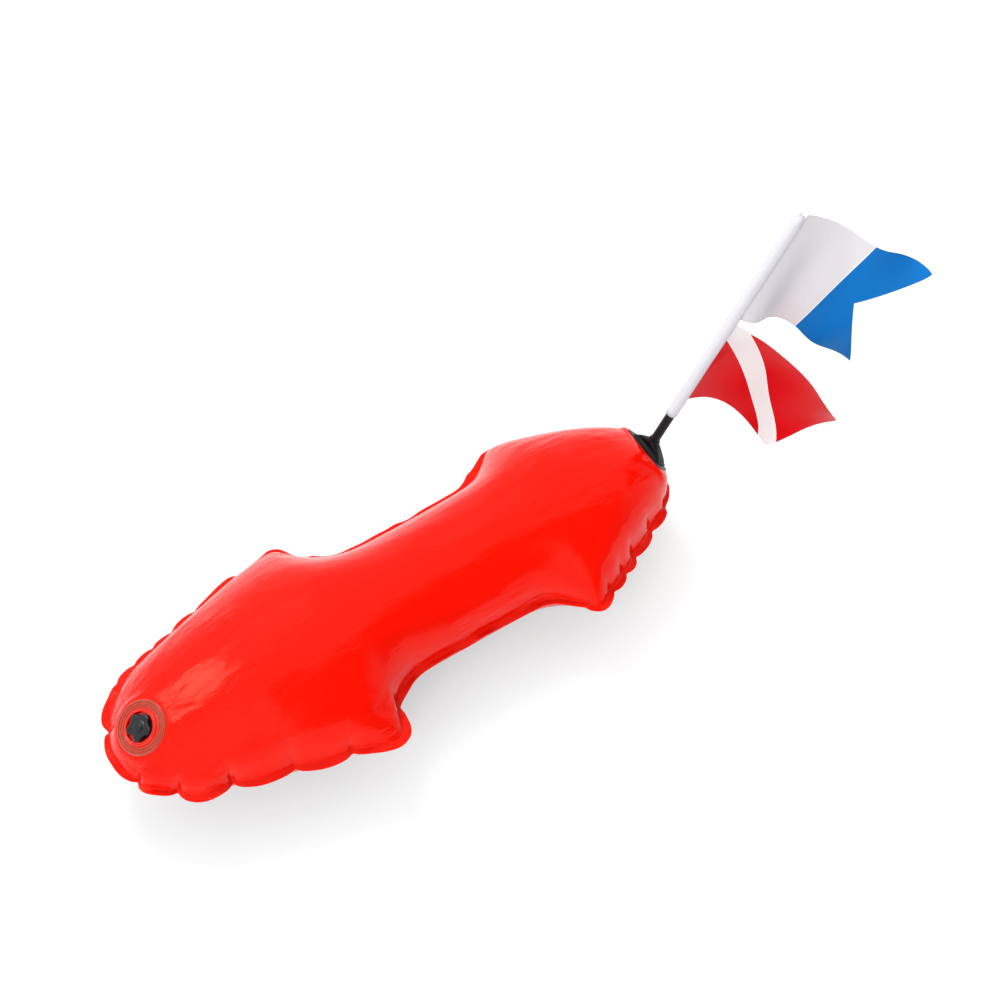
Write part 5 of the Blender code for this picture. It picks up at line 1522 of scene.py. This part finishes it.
@dataclass
class Flag:
    """One flag: a flat cut that hangs from the sleeve in a curved sheet.

    Attributes:
        name: Name of the piece.
        node: CAD node that it stands for.
        finish: Its vinyl.
        top: Distance of its top edge along the mast.
        hoist: Height of its cut at the sleeve.
        fly: Length of its cut away from the sleeve.
        notch: Depth of its swallowtail.
        headings: Headings in degrees of the bottom edge, the middle and the top edge, at even steps
            from the sleeve to the fly, with aft as 0 and the near side as 90.
    """

    name: str
    node: str
    finish: FlagVinyl
    top: float
    hoist: float
    fly: float
    notch: float
    headings: tuple
    columns: int = 96
    levels: int = 80
    thick: float = 0.0005
    space: float = 0.0004
    hang: float = 20.0
    ripple: float = 1.6
    ripple_pitch: float = math.tau / 90
    ripple_start: float = 0.03

    def heading(self, level: float, fine: np.ndarray) -> np.ndarray:
        """Return the sheet's rounded headings at a level from 0 to 1 and at places along the fly."""
        width = len(fine) // 20 | 1
        kernel = np.hanning(width + 2)[1:-1]
        kernel /= kernel.sum()
        rows = []
        for row in self.headings:
            values = np.interp(fine, np.linspace(0.0, self.fly, len(row)), row)
            padded = np.concatenate([np.full(width // 2, values[0]), values, np.full(width // 2, values[-1])])
            rows.append(np.convolve(padded, kernel, mode="valid"))
        bottom, middle, top = rows
        ends = bottom * (1 - level) * (1 - 2 * level) + top * level * (2 * level - 1)
        return ends + middle * 4 * level * (1 - level)

    def surface(self) -> np.ndarray:
        """Return the grid of the hung sheet in the mast's frame, by level and column."""
        fine = np.linspace(0.0, self.fly, 8 * self.columns + 1)
        hang = math.radians(self.hang)
        grid = np.zeros((self.levels + 1, self.columns + 1, 5))
        for row in range(self.levels + 1):
            level = row / self.levels
            height = self.top - self.hoist + self.hoist * level
            wave = np.sin(fine * math.tau / self.ripple_pitch + level * 3.1 + self.hoist * 30)
            ripple = self.ripple * wave * np.minimum(1.0, fine / self.ripple_start)
            angles = np.radians(self.heading(level, fine) + ripple)
            start = MAST.sleeve_radius(height) + self.space
            step = fine[1]
            x = start * math.cos(hang) + np.concatenate([[0.0], np.cumsum(np.cos(angles[:-1])) * step])
            y = start * math.sin(hang) + np.concatenate([[0.0], np.cumsum(np.sin(angles[:-1])) * step])
            length = self.fly - self.notch * (1 - abs(2 * level - 1))
            reach = np.linspace(0.0, 1.0, self.columns + 1) * length
            grid[row, :, 0] = np.interp(reach, fine, x)
            grid[row, :, 1] = -np.interp(reach, fine, y)
            grid[row, :, 2] = height
            grid[row, :, 3] = reach * CUT_SCALE
            grid[row, :, 4] = self.hoist * level * CUT_SCALE
        return grid

    def build(self) -> Object:
        """Make the flag as one sheet with its thickness."""
        grid = self.surface()
        bm = bmesh.new()
        cut = bm.loops.layers.uv.new("cut")
        bmesh.ops.create_grid(bm, x_segments=self.columns, y_segments=self.levels, size=0.5)
        spots = {}
        for vert in bm.verts:
            spots[vert] = (round((vert.co.y + 0.5) * self.levels), round((vert.co.x + 0.5) * self.columns))
        for face in bm.faces:
            for loop in face.loops:
                loop[cut].uv = grid[spots[loop.vert]][3:5]
        for vert, spot in spots.items():
            vert.co = MAST.matrix @ Vector(grid[spot][:3])
        item = finished(bm, self.name, self.finish, "flags", self.node)
        assign(item.modifiers.new("cloth", "SOLIDIFY"), thickness=self.thick, offset=0.0)
        return item


@dataclass
class TowRing:
    """Welded patch, webbing loop and D-ring under the hull.

    Attributes:
        prefix: Name of the place, as in the nodes' names.
    """

    prefix: str
    patch_thick: float = 0.0008
    web_width: float = 0.0185
    web_thick: float = 0.0012
    web_reach: float = 0.01354
    wire: float = 0.0018
    slip: float = 0.0004
    inner_width: float = 0.0215
    depth: float = 0.0180
    corner: float = 0.0035
    stitch: float = 0.0009
    stitch_rows: tuple = (0.0062, 0.0118)
    stitch_count: int = 7

    def __post_init__(self) -> None:
        """Find the patch's plane and the ring's axis in the frame."""
        swing = joint(self.prefix + "_ring_swing")
        self.bar = Vector(swing["axis"])
        self.pivot = Vector(swing["pos_m"])
        seat, self.radius = seat_of(self.prefix + "_patch", self.bar)
        self.matrix = axes(seat.translation, Vector(seat.col[2][:3]), self.bar.cross(Vector(seat.col[2][:3])))

    def patch(self) -> None:
        """Round patch with a welded rim."""
        thick = self.patch_thick
        rim = ((0.0052, 1.0, 0.0004), (0.0046, 0.6, 0.0003), (0.0028, 0.6, 0.0003), (0.0022, 1.0, 0.0004),
               (0.0004, 0.8, 0.0004), (0.0, 0.0, 0.0))
        profile = [(0.0, thick, 0.0),
                   *((self.radius - inset, thick * share, bend) for inset, share, bend in rim),
                   (0.0, 0.0, 0.0)]
        finished(spun(fillet(profile), 96, self.matrix), self.prefix + "_weld_patch", HULL_FILM, "float",
                 self.prefix + "_patch")

    def webbing(self) -> None:
        """Webbing laid on the patch with a loop in its middle for the ring."""
        loop = self.wire + self.slip
        outer = loop + self.web_thick
        lift = self.web_thick + loop
        base = self.patch_thick + GAP * 0.3
        drop = math.asin((lift - self.web_thick) / outer) * 0.6
        outline = [(-self.web_reach, 0.0), (self.web_reach, 0.0), (self.web_reach, self.web_thick),
                   (outer + self.web_thick / 2, self.web_thick)]
        outline.extend(arc((0.0, lift), outer, -drop, math.pi + drop, 22))
        outline.extend([(-outer - self.web_thick / 2, self.web_thick), (-self.web_reach, self.web_thick)])
        hole = arc((0.0, lift), loop, 0.0, math.tau, 28)[:-1]
        bm = bmesh.new()
        for path in (outline, hole):
            verts = [bm.verts.new((x, 0.0, z + base)) for x, z in path]
            for first, second in zip(verts, [*verts[1:], verts[0]]):
                bm.edges.new((first, second))
        bmesh.ops.triangle_fill(bm, edges=bm.edges, use_beauty=True)
        half = self.web_width / 2
        bmesh.ops.translate(bm, vec=(0.0, -half, 0.0), verts=bm.verts)
        made = bmesh.ops.extrude_face_region(bm, geom=list(bm.faces))["geom"]
        top = [item for item in made if isinstance(item, BMVert)]
        bmesh.ops.translate(bm, vec=(0.0, 2 * half, 0.0), verts=top)
        bmesh.ops.recalc_face_normals(bm, faces=bm.faces)
        cut = bm.loops.layers.uv.new("cut")
        for face in bm.faces:
            for item in face.loops:
                item[cut].uv = ((item.vert.co.x + item.vert.co.z) * CUT_SCALE, item.vert.co.y * CUT_SCALE)
        self.stitches(bm, base + self.web_thick)
        bmesh.ops.transform(bm, matrix=self.matrix, verts=bm.verts)
        finished(bm, self.prefix + "_webbing_loop", BLACK_WEBBING, "float", self.prefix + "_webbing")

    def stitches(self, bm: BMesh, level: float) -> None:
        """Add rows of stitches on both legs of the webbing."""
        for side in (-1, 1):
            for row in self.stitch_rows:
                for index in range(self.stitch_count):
                    across = (index - self.stitch_count // 2) * self.web_width / 7.6
                    place = Matrix.Translation((side * row, across, level))
                    bmesh.ops.create_uvsphere(bm, u_segments=8, v_segments=6, radius=self.stitch,
                                              matrix=place @ Matrix.Diagonal((0.3, 1.0, 0.35, 1.0)))

    def ring(self) -> None:
        """D-ring hanging straight down, its bar in the loop."""
        half = self.inner_width / 2 + self.wire
        bow = self.depth - half
        points = arc((half - self.corner, self.corner), self.corner, -math.pi / 2, 0.0, 8)
        points.extend(arc((0.0, bow), half, 0.0, math.pi, 40))
        points.extend(arc((self.corner - half, self.corner), self.corner, math.pi, 1.5 * math.pi, 8))
        curve = assign(bpy.data.curves.new("ring", "CURVE"), dimensions="3D", bevel_depth=self.wire,
                       bevel_resolution=6)
        spline = curve.splines.new("POLY")
        spline.points.add(len(points) - 1)
        for point, (u, v) in zip(spline.points, points):
            point.co = (u, v, 0.0, 1.0)
        spline.use_cyclic_u = True
        item = bpy.data.objects.new("ring", curve)
        bm = bmesh.new()
        bm.from_mesh(item.to_mesh())
        bpy.data.objects.remove(item)
        bmesh.ops.remove_doubles(bm, verts=bm.verts, dist=0.00001)
        bmesh.ops.recalc_face_normals(bm, faces=bm.faces)
        matrix = axes(self.pivot, self.bar.cross(Vector((0.0, 0.0, -1.0))), self.bar)
        bmesh.ops.transform(bm, matrix=matrix, verts=bm.verts)
        finished(bm, self.prefix + "_d_ring", BLACK_PLASTIC, self.prefix + "_d", self.prefix + "_ring")

    def build(self) -> None:
        """Make the patch, the webbing and the ring."""
        self.patch()
        self.webbing()
        self.ring()


@dataclass
class Studio:
    """Pale floor, soft light and the photograph's camera."""

    floor_half: float = 12.0
    floor_colour: tuple = (0.66, 0.66, 0.66)
    floor_lift: float = 0.42
    fill_level: float = 1.3
    fill_angle: float = 55.0
    fill_from: tuple = (-0.75, -0.85, 0.80)
    key_power: float = 17.0
    key_size: float = 0.85
    key_place: tuple = (0.20, 1.2, 1.9)
    glint_power: float = 12.0
    glint_size: float = 0.85
    glint_place: tuple = (-0.95, 1.0, 1.9)
    world_level: float = 0.92
    card_centre: float = 0.30
    card_top: tuple = (-0.50, -0.24)
    card_side: tuple = (0.36, 0.60)
    card_dark: float = 0.86
    target: tuple = (0.12, 0.0, 0.1)

    def floor(self) -> None:
        """Plain pale floor, a little brighter to the camera than its light makes it."""
        bm = bmesh.new()
        bmesh.ops.create_grid(bm, x_segments=1, y_segments=1, size=self.floor_half)
        item = linked("floor", meshed(bm, "floor"))
        shader = Shader("floor_pale", self.floor_colour, 0.9)
        seen = shader.rays("Is Camera Ray", "Is Glossy Ray", "Is Transmission Ray")
        shader.set(Emission_Color=(1.0, 1.0, 1.0, 1.0))
        shader.set(Emission_Strength=shader.math("MULTIPLY", seen, self.floor_lift))
        item.data.materials.append(shader.material)

    def world(self) -> None:
        """Even pale surroundings, with a dark card on the near side that the near slope mirrors."""
        world = bpy.data.worlds.new("surroundings")
        bpy.context.scene.world = world
        nodes = Nodes(world)
        way = nodes.add("ShaderNodeTexCoord").outputs["Generated"]
        across, along = nodes.add("ShaderNodeSeparateXYZ", {0: way}).outputs[:2]
        aside = nodes.math("ABSOLUTE", nodes.math("SUBTRACT", across, self.card_centre))
        card = nodes.math("MULTIPLY", nodes.spread(along, 1.0, 0.0, *self.card_top),
                          nodes.spread(aside, 1.0, 0.0, *self.card_side))
        level = nodes.math("MULTIPLY_ADD", card, -self.card_dark * self.world_level, self.world_level)
        back = nodes.tree.nodes["Background"]
        nodes.feed(back, "Strength", nodes.math("MAXIMUM", level, nodes.rays("Is Camera Ray")))
        nodes.feed(back, "Color", (1.0, 1.0, 1.0, 1.0))

    def lamp(self, name: str, kind: str, place: tuple, **settings: float) -> Object:
        """Add a lamp that shines from a place toward the float.

        Args:
            name: Name of the lamp.
            kind: Blender's type of lamp.
            place: Where it stands; a sun only takes its direction from it.
            **settings: Other properties of the lamp.

        Returns:
            The lamp's object.
        """
        item = linked(name, assign(bpy.data.lights.new(name, kind), **settings))
        aim = Vector(place) - (Vector(self.target) if kind == "AREA" else Vector())
        return assign(item, location=place, rotation_euler=aim.to_track_quat("Z", "Y").to_euler())

    def lights(self) -> None:
        """Soft lamp above the far side, a panel that only the gloss mirrors, and fill by the camera."""
        key = self.lamp("key", "AREA", self.key_place, energy=self.key_power, size=self.key_size)
        glint = self.lamp("glint", "AREA", self.glint_place, energy=self.glint_power, size=self.glint_size)
        fill = self.lamp("fill", "SUN", self.fill_from, energy=self.fill_level,
                         angle=math.radians(self.fill_angle))
        key.visible_glossy = False
        glint.visible_diffuse = False
        fill.visible_glossy = False

    def camera(self) -> None:
        """Camera at the photograph's place."""
        ahead = Vector((math.sin(CAMERA_HEADING) * math.cos(CAMERA_DIP),
                        math.cos(CAMERA_HEADING) * math.cos(CAMERA_DIP), -math.sin(CAMERA_DIP)))
        right = Vector((math.cos(CAMERA_HEADING), -math.sin(CAMERA_HEADING), 0.0))
        lens = assign(bpy.data.cameras.new("view"), sensor_width=SENSOR_MM,
                      lens=SENSOR_MM * FOCAL_PIXELS / FRAME_PIXELS)
        item = assign(linked("view", lens), matrix_world=axes(CAMERA_PLACE, -ahead, right))
        bpy.context.scene.camera = item

    def build(self) -> None:
        """Set the stage."""
        self.floor()
        self.world()
        self.lights()
        self.camera()
        bpy.context.scene.view_settings.view_transform = "Standard"


def hull_pads() -> dict:
    """Return the flat seats of both panels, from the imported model's own patches."""
    ahead = Vector((1.0, 0.0, 0.0))
    slack = 0.0008
    under_skin = Matrix.Translation((0.0, 0.0, -SKIN - GAP))
    flange = VALVE.flange_radius + slack
    length, front, rear, _ = MAST.patch
    upper = [Pad(VALVE.matrix, flange, flange, flange),
             Pad(MAST.seat @ under_skin, length / 2 + slack, front + slack, rear + slack, 5.0, 0.016)]
    lower = []
    for prefix in RING_PLACES:
        seat, radius = seat_of(prefix + "_patch", ahead)
        lower.append(Pad(seat @ under_skin, *[radius + slack] * 3))
    half, side, blend = HULL.rest_pad
    for station in (HULL.chest[0], HULL.rump[0]):
        place = Vector((HULL.nose + station, 0.0, HULL.seam - HULL.floor))
        matrix = axes(place, Vector((0.0, 0.0, -1.0)), ahead)
        lower.append(Pad(matrix, half, side, side, blend=blend))
    return {Side.UPPER: upper, Side.LOWER: lower}


def main() -> None:
    """Build the float's pieces in order, then the stage."""
    logging.basicConfig(level=logging.INFO, format="%(name)s: %(message)s")
    HULL.pads = hull_pads()
    HULL.build()
    VALVE.build()
    MAST.build()
    Flag("upper_flag", "alpha_flag", ALPHA_VINYL, ALPHA_TOP, ALPHA_HOIST, ALPHA_FLY, ALPHA_NOTCH,
         ALPHA_HEADINGS).build()
    Flag("lower_flag", "diver_flag", DIVER_VINYL, DIVER_TOP, DIVER_HOIST, DIVER_FLY, 0.0,
         DIVER_HEADINGS).build()
    for prefix in RING_PLACES:
        TowRing(prefix).build()
    Studio().build()


if __name__ == "__main__":
    main()
